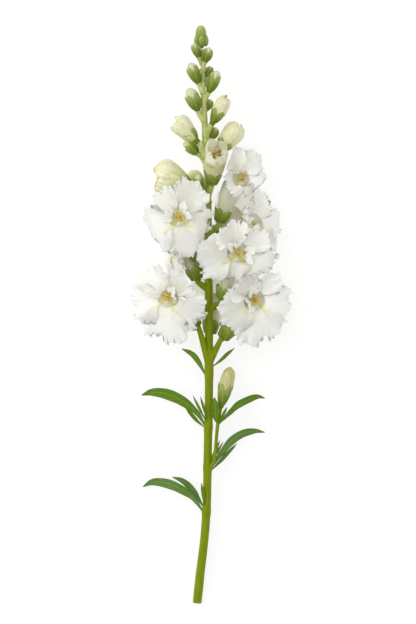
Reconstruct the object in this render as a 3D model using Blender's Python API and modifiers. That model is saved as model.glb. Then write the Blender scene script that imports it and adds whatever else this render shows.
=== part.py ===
"""A cut stem of butterfly snapdragon lying on a table: one green stem with leaves, a side shoot,
closed buds towards the tip and ruffled white florets round the upper half."""

import math

import bmesh
import bpy
import numpy as np
from mathutils import Vector

for old in list(bpy.data.objects):
    bpy.data.objects.remove(old, do_unlink=True)

# All lengths are in millimetres until a mesh is written, then in metres.
MM = 0.001
WALL = 0.7  # petal, sepal and leaf thickness
GAP = 0.3  # clearance between neighbouring pieces
STEM_SIDES = 8
LOBE_COLUMNS = 5  # columns of a corolla's mesh to each lobe
HIDDEN_LOBE_COLUMNS = 4  # the same on the florets that lie underneath
LIMB_ROWS = 4
HIDDEN_LIMB_ROWS = 3
TUBE_SHARES = (0.04, 0.07, 0.3, 0.62)  # rings of the tube's mesh from its closed foot to the mouth
TUBE_STEPS = 13  # points along a tube's axis
LOBES = 5
SEPALS = 5
MOUTH_RADIUS = 6.6  # of a full-size floret
TUBE_BASE_RADIUS = 4.0
TUBE_STOPS = (0, 0.05, 0.2, 0.5, 0.8, 1.0)
TUBE_RADII = (0.0, 0.75 * TUBE_BASE_RADIUS, TUBE_BASE_RADIUS, 5.2, 6.0, MOUTH_RADIUS)
FOOT_LEAN = 0.25  # how far a tube's foot leans away from the way that the floret faces
CALYX_LENGTH = 8.0
CALYX_FLARE = 0.5
CALYX_NOTCH = 3.2
PEDICEL_RADIUS = 1.2
LOBE_NOTCH = 0.74  # reach between two lobes as a share of the reach at their middles
RUFFLE = 0.10
BUD_START = 1.45  # from a bud's foot to its closed petals
BUD_STOPS = (0, 0.06, 0.2, 0.42, 0.62, 0.8, 0.93, 1.0)
BUD_OUTLINE = (0.0, 0.40, 0.72, 0.95, 1.0, 0.86, 0.52, 0.0)
CUP_FLOOR = 0.5
FOOT_SHARE = 0.07  # half width of a leaf's foot as a share of its width
LEAF_STOPS = (0, 0.06, 0.25, 0.5, 0.75, 0.93, 1.0)
LEAF_OUTLINE = (2 * FOOT_SHARE, 0.24, 0.80, 1.0, 0.74, 0.26, 0.07)
LEAF_WAVE = 0.10
STEM_KEEP = 0.58  # share of the stem's triangles kept after joining
PETALS_KEEP = 0.74  # the same for a corolla with inner petals
CLEAR_ROUNDS = 16
PLANE_ROUNDS = 260
PLANE_RATE = 0.6  # first step of the search for a parting plane
FACE_MARGIN = 0.75  # from a petal's middle to the parting plane
STEM_MARGIN = 1.4
CALYX_ROOM = (6.0, 6.6)  # radii kept free round a floret's sepals

# Stem axis from the cut end to the tip: x, y, z, radius.
STEM = [
    (-10.9, -197.5, 3.09, 3.10),
    (-9.7, -186.0, 4.2, 3.15),
    (-8.6, -175.8, 5.3, 3.05),
    (-6.5, -158.8, 7.0, 2.95),
    (-5.1, -143.8, 8.6, 2.95),
    (-4.1, -124.8, 10.7, 2.90),
    (-3.5, -90.8, 14.3, 2.90),
    (-2.8, -56.8, 17.9, 2.88),
    (-2.7, -19.4, 21.8, 2.85),
    (-2.9, 20.0, 25.3, 2.75),
    (-3.3, 60.0, 28.4, 2.60),
    (-3.8, 90.0, 30.5, 2.45),
    (-5.2, 120.0, 32.5, 2.20),
    (-5.7, 133.6, 33.3, 2.00),
    (-6.5, 147.2, 34.1, 1.75),
    (-6.8, 167.6, 35.2, 1.15),
    (-7.6, 181.0, 35.8, 0.95),
]

# Open florets: calyx foot, mouth centre, facing, limb radius, lobe reach (two upper, then lower
# right, lower middle, lower left), cup (how far the limb stays forward, 0 flat to 1 upright),
# girth of the tube and number of inner petals where these differ from 1 and 0.
FLORETS = {
    "front_top": dict(foot=(-0.8, 90.0, 38.4), mouth=(1.8, 106.0, 50.0), face=(0.08, 0.46, 0.88),
                      reach=13.0, lobes=(1.0, 1.0, 0.9, 0.85, 0.95), cup=0.95, turn=10, girth=1.3),
    "right_top": dict(foot=(4.0, 63.5, 33.0), mouth=(18.6, 93.0, 42.0), face=(0.50, 0.20, 0.84),
                      reach=20.0, lobes=(1.05, 1.0, 0.95, 0.8, 0.85), cup=0.32, turn=0),
    "left_front": dict(foot=(-9.5, 37.5, 33.0), mouth=(-22.6, 66.5, 45.0), face=(-0.22, 0.12, 0.96),
                       reach=27.0, lobes=(0.92, 0.95, 1.0, 1.05, 1.0), cup=0.2, turn=8, inner=2),
    "right_front": dict(foot=(5.6, 11.0, 32.0), mouth=(17.0, 42.5, 46.5), face=(0.16, -0.08, 0.98),
                        reach=28.0, lobes=(0.74, 0.74, 1.04, 0.72, 0.98), cup=0.28, turn=-6, inner=2),
    "right_rear": dict(foot=(5.4, 40.0, 25.5), mouth=(28.5, 63.5, 26.0), face=(0.64, 0.40, 0.65),
                       reach=22.5, lobes=(1.0, 1.0, 1.0, 0.95, 0.9), cup=0.15, turn=10),
    "left_rear": dict(foot=(-10.4, 25.0, 25.0), mouth=(-25.0, 46.5, 27.0), face=(-0.80, 0.0, 0.40),
                      reach=18.0, lobes=(1.0, 0.9, 1.0, 1.1, 1.1), cup=0.15, turn=0),
    "left_low": dict(foot=(-10.5, -8.0, 26.5), mouth=(-30.5, 13.0, 33.0), face=(-0.34, -0.04, 0.94),
                     reach=26.0, lobes=(0.85, 0.8, 1.0, 1.2, 1.12), cup=0.2, turn=-10, inner=2),
    "right_low": dict(foot=(5.8, -15.5, 26.0), mouth=(28.0, 11.0, 31.5), face=(0.34, -0.02, 0.94),
                      reach=26.5, lobes=(0.92, 0.85, 1.02, 1.18, 1.0), cup=0.2, turn=8, inner=2),
    "under_left": dict(foot=(-9.5, 57.0, 23.0), mouth=(-22.5, 76.0, 9.0), face=(-0.55, 0.45, -0.70),
                       reach=19.0, lobes=(1.0, 1.0, 1.0, 1.0, 1.0), cup=0.15, turn=0),
    "under_right": dict(foot=(-0.6, 51.5, 17.6), mouth=(14.5, 69.5, 8.5), face=(0.52, 0.42, -0.74),
                        reach=19.0, lobes=(1.0, 1.0, 1.0, 1.0, 1.0), cup=0.2, turn=0),
    "under_low": dict(foot=(-2.0, -12.0, 14.6), mouth=(1.0, 10.0, 8.0), face=(0.10, 0.55, -0.83),
                      reach=19.0, lobes=(1.0, 1.0, 1.0, 1.0, 1.0), cup=0.2, turn=0),
}
INNER_LOBES = (0, 3)  # lobes that carry an inner petal, counted clockwise from the stem tip's side
HIDDEN = ("left_rear", "under_left", "under_right", "under_low")
STAMENS_SHOWN = ("front_top", "right_top", "left_front", "right_front", "left_low", "right_low")

# Closed buds: foot, tip, half width, share of the length that the sepals cover.
BUDS = {
    "bud_01": dict(foot=(-9.6, 175.4, 38.4), tip=(-13.0, 184.4, 42.0), half=2.0, cover=0.85),
    "bud_02": dict(foot=(-5.6, 172.0, 37.6), tip=(-2.2, 181.8, 40.0), half=2.6, cover=0.8),
    "bud_03": dict(foot=(-9.6, 157.6, 35.8), tip=(-15.6, 171.6, 38.0), half=3.3, cover=0.75),
    "bud_04": dict(foot=(-4.6, 162.0, 32.0), tip=(-1.2, 169.8, 30.0), half=2.0, cover=0.85),
    "bud_05": dict(foot=(-3.2, 151.6, 35.4), tip=(3.2, 166.2, 38.2), half=3.3, cover=0.75),
    "bud_06": dict(foot=(-10.0, 139.0, 35.4), tip=(-16.4, 154.4, 38.0), half=4.0, cover=0.66),
    "bud_07": dict(foot=(-1.4, 129.6, 36.0), tip=(9.8, 149.0, 39.5), half=4.7, cover=0.5),
    "bud_08": dict(foot=(-5.4, 140.0, 29.6), tip=(-1.2, 147.6, 25.6), half=2.1, cover=0.8),
    "bud_09": dict(foot=(-9.6, 117.5, 36.0), tip=(-26.0, 133.8, 39.0), half=6.3, cover=0.42),
    "bud_10": dict(foot=(-9.6, 110.0, 30.0), tip=(-19.6, 119.6, 25.6), half=3.2, cover=0.6),
    "bud_11": dict(foot=(-2.4, 120.6, 29.4), tip=(2.6, 128.4, 24.6), half=2.7, cover=0.7),
    "bud_12": dict(foot=(2.2, 110.0, 31.0), tip=(18.4, 130.8, 27.5), half=6.9, cover=0.36),
    "bud_13": dict(foot=(-12.6, 89.5, 34.5), tip=(-40.0, 97.5, 38.0), half=10.2, cover=0.26),
    "bud_14": dict(foot=(-8.8, 86.5, 37.0), tip=(-10.4, 96.0, 41.5), half=2.2, cover=0.7),
    "bud_15": dict(foot=(-0.8, 98.0, 24.0), tip=(6.0, 112.0, 13.5), half=4.8, cover=0.5),
    "bud_16": dict(foot=(-8.8, 84.0, 22.6), tip=(-14.0, 100.0, 12.5), half=5.2, cover=0.45),
}
SIDE_SHOOT_BUD = dict(foot=(5.0, -62.8, 21.6), tip=(12.0, -34.6, 24.0), half=5.3, cover=0.5)

# Side shoot axis: x, y, z, radius.
SIDE_SHOOT = [
    (-2.0, -103.5, 14.0, 1.2),
    (0.6, -99.5, 16.6, 1.25),
    (1.6, -92.0, 18.4, 1.2),
    (3.0, -76.0, 20.4, 1.15),
    (3.9, -70.0, 21.0, 1.2),
    (5.05, -62.65, 21.6, 1.3),
]

# Leaves: midline x, y, z from foot to tip, widest width, upward turn of the blade's face.
LEAVES = {
    "leaf_left_middle": dict(line=[(-6.3, -74.5, 17.0), (-11.6, -65.0, 20.0), (-21.5, -57.0, 22.0),
                                   (-32.0, -52.6, 21.0), (-41.5, -51.8, 17.5), (-49.2, -54.1, 12.0)],
                             width=8.2, tilt=28),
    "leaf_left_middle_narrow": dict(line=[(-6.4, -76.0, 14.5), (-11.0, -71.5, 14.5),
                                          (-15.5, -66.4, 13.2), (-19.0, -62.6, 11.0)],
                                    width=2.6, tilt=-15),
    "leaf_side_right": dict(line=[(5.6, -73.8, 20.4), (10.6, -66.5, 22.0), (17.0, -60.2, 23.0),
                                  (25.5, -56.0, 22.0), (31.0, -54.8, 19.5), (35.6, -56.1, 16.0)],
                            width=5.4, tilt=-30),
    "leaf_side_front": dict(line=[(2.6, -73.6, 22.8), (1.7, -68.0, 25.0), (1.4, -61.0, 26.6),
                                  (0.9, -55.0, 26.0)],
                            width=5.6, tilt=0),
    "leaf_right_low": dict(line=[(-0.2, -104.4, 12.0), (5.6, -93.6, 14.6), (13.0, -84.6, 18.0),
                                 (20.4, -79.9, 18.5), (28.6, -78.4, 16.0), (35.6, -79.6, 12.0)],
                           width=6.2, tilt=-30),
    "leaf_right_low_narrow": dict(line=[(-1.0, -106.4, 11.0), (5.6, -99.0, 10.6),
                                        (11.0, -93.0, 10.0), (16.5, -87.6, 8.0)],
                                  width=2.8, tilt=20),
    "leaf_left_low": dict(line=[(-7.8, -134.0, 10.5), (-14.0, -124.0, 14.5), (-24.0, -117.0, 16.5),
                                (-33.0, -113.9, 15.0), (-41.6, -113.8, 10.5), (-48.4, -117.6, 4.5)],
                          width=7.2, tilt=28),
    "leaf_left_low_rear": dict(line=[(-7.6, -131.4, 7.6), (-12.5, -121.0, 9.0),
                                     (-20.0, -113.5, 9.5), (-28.0, -110.6, 7.0)],
                               width=4.6, tilt=25),
    "leaf_left_top": dict(line=[(-6.2, -40.2, 19.8), (-9.4, -31.6, 21.4), (-14.2, -25.6, 21.4),
                                (-21.4, -22.1, 18.5)],
                          width=4.0, tilt=25),
    "leaf_right_top": dict(line=[(0.9, -34.0, 20.6), (5.6, -29.6, 20.4), (9.8, -25.6, 19.0),
                                 (14.7, -21.8, 16.5)],
                           width=2.6, tilt=-25),
}

# Small blades in the leaf axils, fused to the stem or the side shoot: foot, tip, width.
BLADES = [
    ((-4.4, -72.5, 18.8), (-13.8, -53.8, 26.0), 1.7),
    ((-4.0, -70.5, 19.2), (-8.6, -54.5, 26.5), 1.7),
    ((-2.6, -101.5, 15.2), (4.9, -84.5, 20.2), 1.9),
    ((-2.0, -101.0, 14.4), (7.1, -85.8, 17.6), 1.6),
    ((-5.2, -131.5, 12.0), (-8.0, -114.2, 15.6), 2.2),
    ((4.0, -73.0, 21.2), (9.6, -61.6, 26.4), 2.0),
]

# Anthers in a throat: place across the mouth (up, sideways) and height above it.
ANTHERS = [(0.34, 0.30, 2.4), (0.34, -0.30, 2.4), (-0.05, 0.42, 4.6), (-0.05, -0.42, 4.6)]

# Unopened buds at the tip: offset from the end of the axis, half width, half length.
TIP_KNOBS = [
    ((-0.6, 11.2, 0.6), 3.5, 5.2),
    ((-3.3, 6.2, -0.6), 1.9, 4.0),
    ((2.7, 6.0, -0.4), 1.8, 4.0),
    ((-0.3, 6.4, 2.4), 2.2, 4.4),
    ((-0.1, 5.3, -0.7), 2.4, 4.8),
]

GREEN = (0.22, 0.36, 0.06, 1.0)
LEAF_GREEN = (0.16, 0.31, 0.07, 1.0)
SEPAL_GREEN = (0.13, 0.27, 0.02, 1.0)
BUD_GREEN = (0.55, 0.62, 0.26, 1.0)
WHITE = (0.90, 0.90, 0.87, 1.0)
ANTHER = (0.80, 0.50, 0.08, 1.0)

part_collection = bpy.data.collections.new("snapdragon_stem")
bpy.context.scene.collection.children.link(part_collection)
joining = bpy.data.collections.new("joining")
bpy.context.scene.collection.children.link(joining)


def material(name, color, roughness):
    made = bpy.data.materials.new(name)
    made.use_nodes = True
    shader = made.node_tree.nodes["Principled BSDF"]
    shader.inputs["Base Color"].default_value = color
    shader.inputs["Roughness"].default_value = roughness
    return made


def unit(v):
    v = np.asarray(v, dtype=float)
    return v / max(np.linalg.norm(v), 1e-9)


def across(direction, along):
    """The part of direction that is square to along, as a unit vector."""
    along = unit(along)
    direction = np.asarray(direction, dtype=float)
    return unit(direction - along * float(direction @ along))


def smooth_path(points, steps):
    """A Catmull-Rom path through points, with steps samples to each span."""
    pts = np.asarray(points, dtype=float)
    ends = np.vstack([2 * pts[0] - pts[1], pts, 2 * pts[-1] - pts[-2]])
    out = []
    for k in range(1, len(ends) - 2):
        a, b, c, d = ends[k - 1], ends[k], ends[k + 1], ends[k + 2]
        for i in range(steps):
            t = i / steps
            out.append(0.5 * (2 * b + (c - a) * t + (2 * a - 5 * b + 4 * c - d) * t * t
                              + (3 * b - a - 3 * c + d) * t ** 3))
    out.append(pts[-1])
    return np.array(out)


def stem_at(y):
    table = np.array(STEM)
    return np.array([np.interp(y, table[:, 1], table[:, k]) for k in range(4)])


def mesh_object(name, bm, collection):
    bmesh.ops.recalc_face_normals(bm, faces=bm.faces)
    for face in bm.faces:
        face.smooth = True
    mesh = bpy.data.meshes.new(name)
    bm.to_mesh(mesh)
    bm.free()
    made = bpy.data.objects.new(name, mesh)
    collection.objects.link(made)
    return made


def applied(made):
    """Replaces the object's mesh by the mesh that its modifiers give."""
    graph = bpy.context.evaluated_depsgraph_get()
    mesh = bpy.data.meshes.new_from_object(made.evaluated_get(graph))
    made.modifiers.clear()
    made.data = mesh
    return made


def thicken(made):
    """Gives a sheet its wall, half of it to either side."""
    modifier = made.modifiers.new("thickness", "SOLIDIFY")
    modifier.thickness = WALL * MM
    modifier.offset = 0.0
    modifier.use_even_offset = True
    modifier.thickness_clamp = 1.0
    modifier.use_thickness_angle_clamp = True
    return applied(made)


def rod(name, path, sides, collection):
    """A round rod along path (x, y, z, radius), as a mesh with filled ends."""
    curve = bpy.data.curves.new(name, "CURVE")
    curve.dimensions = "3D"
    curve.bevel_depth = MM
    curve.bevel_resolution = max(0, sides // 2 - 2)
    curve.use_fill_caps = True
    spline = curve.splines.new("POLY")
    spline.points.add(len(path) - 1)
    for point, (x, y, z, radius) in zip(spline.points, path):
        point.co = (x * MM, y * MM, z * MM, 1.0)
        point.radius = radius
    drawn = bpy.data.objects.new(name + "_curve", curve)
    bpy.context.scene.collection.objects.link(drawn)
    graph = bpy.context.evaluated_depsgraph_get()
    mesh = bpy.data.meshes.new_from_object(drawn.evaluated_get(graph))
    bpy.data.objects.remove(drawn, do_unlink=True)
    bm = bmesh.new()
    bm.from_mesh(mesh)
    bpy.data.meshes.remove(mesh)
    bmesh.ops.remove_doubles(bm, verts=bm.verts, dist=1e-6)
    bmesh.ops.triangulate(bm, faces=bm.faces)
    return mesh_object(name, bm, collection)


def grid_sheet(name, points, closed, collection):
    """A sheet of triangles on points[row, column]; closed joins the first column to the last."""
    rows, columns = points.shape[:2]
    if closed:
        points = np.concatenate([points, points[:, :1]], axis=1)
        columns += 1
    bm = bmesh.new()
    bmesh.ops.create_grid(bm, x_segments=columns - 1, y_segments=rows - 1, size=1.0)
    for vert in bm.verts:
        column = round((vert.co.x + 1) / 2 * (columns - 1))
        row = round((vert.co.y + 1) / 2 * (rows - 1))
        vert.co = Vector(points[row, column] * MM)
    bmesh.ops.remove_doubles(bm, verts=bm.verts, dist=2e-5)
    bmesh.ops.triangulate(bm, faces=bm.faces, quad_method="SHORT_EDGE")
    return mesh_object(name, bm, collection)


def frame_along(path, upward):
    """Unit tangent, upward and sideways vectors at each point of path."""
    tangent = np.gradient(path, axis=0)
    tangent /= np.linalg.norm(tangent, axis=1)[:, None]
    up = np.array([across(upward, t) for t in tangent])
    return tangent, up, np.cross(tangent, up)


def hermite(a, b, direction_a, direction_b, steps):
    a, b = np.asarray(a, float), np.asarray(b, float)
    span = np.linalg.norm(b - a)
    ta, tb = unit(direction_a) * span, unit(direction_b) * span
    t = np.linspace(0, 1, steps)[:, None]
    return ((2 * t ** 3 - 3 * t ** 2 + 1) * a + (t ** 3 - 2 * t ** 2 + t) * ta
            + (3 * t ** 2 - 2 * t ** 3) * b + (t ** 3 - t ** 2) * tb)


def floret_axis(f, steps):
    """The middle of a floret's tube from calyx foot to mouth, straight where the sepals hold it."""
    foot, mouth, face = np.array(f["foot"]), np.array(f["mouth"]), unit(f["face"])
    lead = unit(unit(mouth - foot) - FOOT_LEAN * face)
    neck = foot + lead * CALYX_LENGTH * 0.8
    bent = hermite(neck, mouth, lead, face, 24)
    whole = np.vstack([foot, bent])
    length = np.r_[0, np.cumsum(np.linalg.norm(np.diff(whole, axis=0), axis=1))]
    at = np.linspace(0, length[-1], steps)
    return np.array([[np.interp(s, length, whole[:, k]) for k in range(3)] for s in at]), length[-1]


def floret_size(f):
    """Size of a floret's tube against a full-size one."""
    return min(1.0, 0.55 + f["reach"] / 50)


def tube_radius(share, size, girth=1.0):
    wide = 1 + (girth - 1) * np.interp(share, [0.1, 0.5], [0, 1])
    return size * wide * np.interp(share, TUBE_STOPS, TUBE_RADII)


def corolla_points(f):
    """Middle surface of a corolla as points[row, column], the first row being its closed foot."""
    size, girth = floret_size(f), f.get("girth", 1.0)
    throat = MOUTH_RADIUS * size * girth
    path = floret_axis(f, TUBE_STEPS)[0]
    face = unit(f["face"])
    up = across((0, 1, 0.0) if abs(face[1]) < 0.9 else (0, 0, 1), face)
    ups, sides = frame_along(path, up)[1:]
    columns = LOBES * f["columns"]
    turns = np.arange(columns) / columns * 2 * math.pi
    rows = []
    for share in TUBE_SHARES:
        k = share * (len(path) - 1)
        i = int(k)
        centre = path[i] + (path[i + 1] - path[i]) * (k - i)
        radius = tube_radius(share, size, girth) if rows else 0.0
        rows.append([centre + radius * (math.cos(a) * ups[i] + math.sin(a) * sides[i]) for a in turns])
    side = np.cross(face, up)
    mouth = path[-1]
    for j in range(f["rows"] + 1):
        t = j / f["rows"]
        ring = []
        for a in turns:
            lobe = int((a % (2 * math.pi)) / (2 * math.pi / LOBES))
            within = (a / (2 * math.pi / LOBES)) % 1.0
            order = (0, 2, 3, 4, 1)[lobe]
            notch = 1 - abs(2 * within - 1) ** 3
            edge = f["reach"] * f["lobes"][order] * (LOBE_NOTCH + (1 - LOBE_NOTCH) * notch)
            radius = throat * (1 - t) + edge * t
            upper = math.cos(a)
            forward = f["reach"] * (0.40 + 0.08 * upper + 0.75 * f["cup"]) * t
            back = f["reach"] * (0.42 - 0.16 * upper - 0.10 * f["cup"]) * t * t
            ruffle = RUFFLE * f["reach"] * t * t * math.sin(4 * math.pi * within + lobe * 1.9)
            if f["cup"] > 0.6:
                radius = throat + (edge - throat) * t * (1.05 - 0.45 * f["cup"])
            turn = a + math.radians(f["turn"])
            ring.append(mouth + radius * (math.cos(turn) * up + math.sin(turn) * side)
                        + face * (forward - back + ruffle))
        rows.append(ring)
    return np.array(rows)


def inner_petal(name, f, ring, lobe, collection):
    """A small waved petal standing in front of a lobe, its root sunk in the mouth's wall."""
    face, centre = unit(f["face"]), ring.mean(0)
    columns = [lobe * f["columns"] + c for c in range(1, f["columns"])]
    rows = []
    for t in (0.0, 0.3, 0.7, 1.0):
        row = []
        for k, column in enumerate(columns):
            root = ring[column % len(ring)]
            out = unit(root - centre)
            spread = 2 * k / (len(columns) - 1) - 1
            tall = f["reach"] * t * (1 - 0.3 * spread * spread)
            wave = 0.045 * f["reach"] * t * (-1) ** k
            around = np.cross(face, out) * spread * 0.10 * f["reach"] * t
            row.append(root + out * tall * 0.24 + face * (tall * 0.34 + wave - 0.8 * (t == 0)) + around)
        rows.append(row)
    return thicken(grid_sheet(name, np.array(rows), False, collection))


def parting_plane(a, b, weight_a, weight_b):
    """Normal and offset of the plane that best keeps points a behind it and points b before it."""
    middle = (a.mean(0) + b.mean(0)) / 2
    a, b = a - middle, b - middle
    normal = unit(b.mean(0) - a.mean(0))
    offset = 0.0
    for step in range(PLANE_ROUNDS):
        rate = PLANE_RATE / (1 + step / 30)
        over_a = np.clip(a @ normal - offset + FACE_MARGIN, 0, None) * weight_a
        over_b = np.clip(offset - b @ normal + FACE_MARGIN, 0, None) * weight_b
        total = over_a.sum() + over_b.sum()
        if total < 1e-6:
            break
        pull = (over_b[:, None] * b).sum(0) - (over_a[:, None] * a).sum(0)
        normal = unit(normal + rate * 0.3 * pull / (total * 20))
        offset += rate * (over_a.sum() / weight_a.sum() - over_b.sum() / weight_b.sum()) * 4
    return normal, offset + float(normal @ middle)


def capsule_push(points, start, end, radius_start, radius_end):
    """Moves points out of the round-ended rod from start to end."""
    line = end - start
    share = np.clip(((points - start) @ line) / max(line @ line, 1e-9), 0, 1)
    nearest = start + share[..., None] * line
    away = points - nearest
    distance = np.linalg.norm(away, axis=-1)
    want = radius_start + (radius_end - radius_start) * share
    short = np.clip(want - distance, 0, None)
    return points + away / np.maximum(distance, 1e-6)[..., None] * short[..., None]


def bent_clear(shapes, rods):
    """Bends the corollas' limbs clear of each other, of the rods and of the table."""
    names = list(shapes)
    rest = {n: shapes[n].copy() for n in names}
    first_limb = len(TUBE_SHARES)

    def row_weights(points):
        limb = len(points) - first_limb
        return np.repeat(np.r_[np.full(first_limb, 6.0), np.linspace(3.0, 0.4, limb)], points.shape[1])

    planes = {n: [] for n in names}
    for i, one in enumerate(names):
        for other in names[i + 1:]:
            a, b = shapes[one].reshape(-1, 3), shapes[other].reshape(-1, 3)
            if (a.min(0) > b.max(0) + 2).any() or (b.min(0) > a.max(0) + 2).any():
                continue
            weights = row_weights(shapes[one]), row_weights(shapes[other])
            normal, offset = parting_plane(a, b, *weights)
            planes[one].append((normal, offset - FACE_MARGIN))
            planes[other].append((-normal, -offset - FACE_MARGIN))

    for _ in range(CLEAR_ROUNDS):
        for n in names:
            moving = np.clip((np.arange(len(rest[n])) - 1) / 3, 0, 1)[:, None, None]
            held = moving[:, 0, 0] <= 0
            shift = shapes[n] - rest[n]
            near = (np.roll(shift, 1, axis=1) + np.roll(shift, -1, axis=1)) / 2
            inner = np.concatenate([shift[:1], shift[:-1]], axis=0)
            shift = 0.6 * shift + 0.25 * near + 0.15 * inner
            points = rest[n] + shift * moving
            for _ in range(4):
                for normal, offset in planes[n]:
                    over = np.clip(points @ normal - offset, 0, None)
                    points = points - over[..., None] * normal
                for start, end, radius_start, radius_end, owner in rods:
                    if owner != n:
                        points = capsule_push(points, start, end, radius_start, radius_end)
                points[..., 2] = np.maximum(points[..., 2], WALL / 2)
                points[held] = rest[n][held]
            shapes[n] = points
    return shapes


def bud_radius(share, half):
    return half * np.interp(share, BUD_STOPS, BUD_OUTLINE)


def axis_frame(foot, tip):
    along = unit(np.subtract(tip, foot))
    up = across((0, 0, 1), along)
    return along, up, np.cross(along, up)


def bud_body_radius(bud, distance, length):
    """Radius of a bud's closed petals at a distance from its foot."""
    share = (distance - BUD_START) / (length - BUD_START)
    return float(bud_radius(np.clip(share, 0, 1), bud["half"]))


def bud_body(name, bud, collection):
    """The closed petals of a bud: a plump drop."""
    foot, tip = np.array(bud["foot"]), np.array(bud["tip"])
    along, up, side = axis_frame(foot, tip)
    length = np.linalg.norm(tip - foot)
    bm = bmesh.new()
    bmesh.ops.create_uvsphere(bm, u_segments=8, v_segments=7, radius=1.0)
    for vert in bm.verts:
        x, y, z = vert.co
        share = (z + 1) / 2
        turn = math.atan2(y, x)
        radius = bud_radius(share, bud["half"]) if math.hypot(x, y) > 1e-4 else 0.0
        reach = BUD_START + (length - BUD_START) * share
        place = foot + along * reach + radius * (math.cos(turn) * up + math.sin(turn) * side)
        vert.co = Vector(place * MM)
    bmesh.ops.triangulate(bm, faces=bm.faces)
    return mesh_object(name, bm, collection)


def cup_sheet(name, foot, along, up, length, notch, radius_at, collection, flare=0.0):
    """A cup of pointed sepals: radius_at(distance) is its middle radius at a distance up the axis."""
    side = np.cross(along, up)
    columns = SEPALS * 2
    rows = []
    for level in range(4):
        ring = []
        for i in range(columns):
            turn = 2 * math.pi * i / columns
            top = length if i % 2 == 0 else notch
            distance = (0.0, CUP_FLOOR, notch * 0.85, top)[level]
            radius = 0.0 if level == 0 else radius_at(distance)
            if level == 3 and i % 2 == 0:
                radius += flare
            ring.append(foot + along * distance
                        + radius * (math.cos(turn) * up + math.sin(turn) * side))
        rows.append(ring)
    return thicken(grid_sheet(name, np.array(rows), True, collection))


def bud_calyx(name, bud, collection):
    foot, tip = np.array(bud["foot"]), np.array(bud["tip"])
    along, up = axis_frame(foot, tip)[:2]
    length = np.linalg.norm(tip - foot)

    def radius_at(distance):
        ahead = 1.7 if distance <= CUP_FLOOR else 0.5
        return max(bud_body_radius(bud, distance + ahead, length), 0.8) + GAP + WALL / 2 + 0.3

    cover = bud["cover"] * length
    return cup_sheet(name, foot, along, up, cover, cover * 0.55, radius_at, collection)


def calyx_base(f):
    """Middle of the calyx's floor, the axis there and the length of the floret's tube."""
    path, length = floret_axis(f, 60)
    along = unit(path[3] - path[0])
    return np.array(f["foot"]) + along * (TUBE_SHARES[0] * length - WALL - GAP), along, length


def floret_calyx(name, f, collection):
    """The green cup round a floret's tube, a little clear of it."""
    base, along, length = calyx_base(f)
    up = across((0, 1, 0), along)
    size = floret_size(f)

    def radius_at(distance):
        ahead = 1.4 if distance <= CUP_FLOOR else 0.8
        return tube_radius((distance + ahead) / length, size) + GAP + WALL + 0.15

    reach = CALYX_LENGTH * (0.8 + 0.2 * size)
    return cup_sheet(name, base, along, up, reach, CALYX_NOTCH, radius_at, collection, CALYX_FLARE)


def stamens(name, f, collection):
    """Four stamens and the style, rising through the tube from a small disc just clear of its foot."""
    size = floret_size(f)
    path, length = floret_axis(f, 9)
    face = unit(f["face"])
    up = across((0, 1, 0), face)
    side = np.cross(face, up)
    along = unit(path[1] - path[0])
    floor = length * (TUBE_SHARES[0] + TUBE_SHARES[1]) / 2 + WALL / 2
    start = path[0] + along * (floor + GAP)
    made = [rod(name + "_disc", [(*start, 1.3 * size), (*(start + along * 2.2), 1.1 * size)], 6, joining)]
    for k, (u, s, rise) in enumerate(ANTHERS):
        out = (up * u + side * s) * MOUTH_RADIUS * size
        line = []
        for j in (1, 5, 8):
            share = (j - 1) / (len(path) - 2)
            line.append((*(path[j] + out * share), 0.36))
        head = path[-1] + out * 1.15 + face * rise * size
        line[0] = (*(start + along * 1.2 + unit(out) * 0.45), 0.4)
        line.append((*head, 0.36))
        made.append(rod(f"{name}_filament_{k}", line, 4, joining))
        bm = bmesh.new()
        bmesh.ops.create_icosphere(bm, subdivisions=1, radius=1.0)
        for vert in bm.verts:
            place = head + (up * vert.co.x * 0.85 + side * vert.co.y * 1.3 + face * vert.co.z * 0.9)
            vert.co = Vector(place * MM)
        made.append(mesh_object(f"{name}_anther_{k}", bm, joining))
    return made


def fused(name, pieces, collection, keep=1.0):
    """One closed body made of the pieces, which are all removed."""
    first = pieces[0]
    group = bpy.data.collections.new(name + "_pieces")
    bpy.context.scene.collection.children.link(group)
    for piece in pieces[1:]:
        joining.objects.unlink(piece)
        group.objects.link(piece)
    if len(pieces) > 1:
        modifier = first.modifiers.new("union", "BOOLEAN")
        modifier.operation = "UNION"
        modifier.operand_type = "COLLECTION"
        modifier.collection = group
        modifier.solver = "EXACT"
        applied(first)
    if keep < 1.0:
        thinning = first.modifiers.new("thinning", "DECIMATE")
        thinning.ratio = keep
        applied(first)
    joining.objects.unlink(first)
    collection.objects.link(first)
    for piece in list(group.objects):
        bpy.data.objects.remove(piece, do_unlink=True)
    bpy.data.collections.remove(group)
    first.name = name
    first.data.name = name
    bm = bmesh.new()
    bm.from_mesh(first.data)
    bmesh.ops.remove_doubles(bm, verts=bm.verts, dist=1e-6)
    bmesh.ops.triangulate(bm, faces=bm.faces)
    bm.to_mesh(first.data)
    bm.free()
    return first


def seated(line, host, width):
    """The midline with its foot just clear of the nearest point of the host axis."""
    line = [np.array(p, dtype=float) for p in line]
    host = smooth_path(host, 12)
    nearest = host[np.argmin(np.linalg.norm(host[:, :3] - line[0], axis=1))]
    out = unit(line[0] - nearest[:3])
    line[0] = nearest[:3] + out * (nearest[3] + GAP + FOOT_SHARE * width)
    return line


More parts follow.
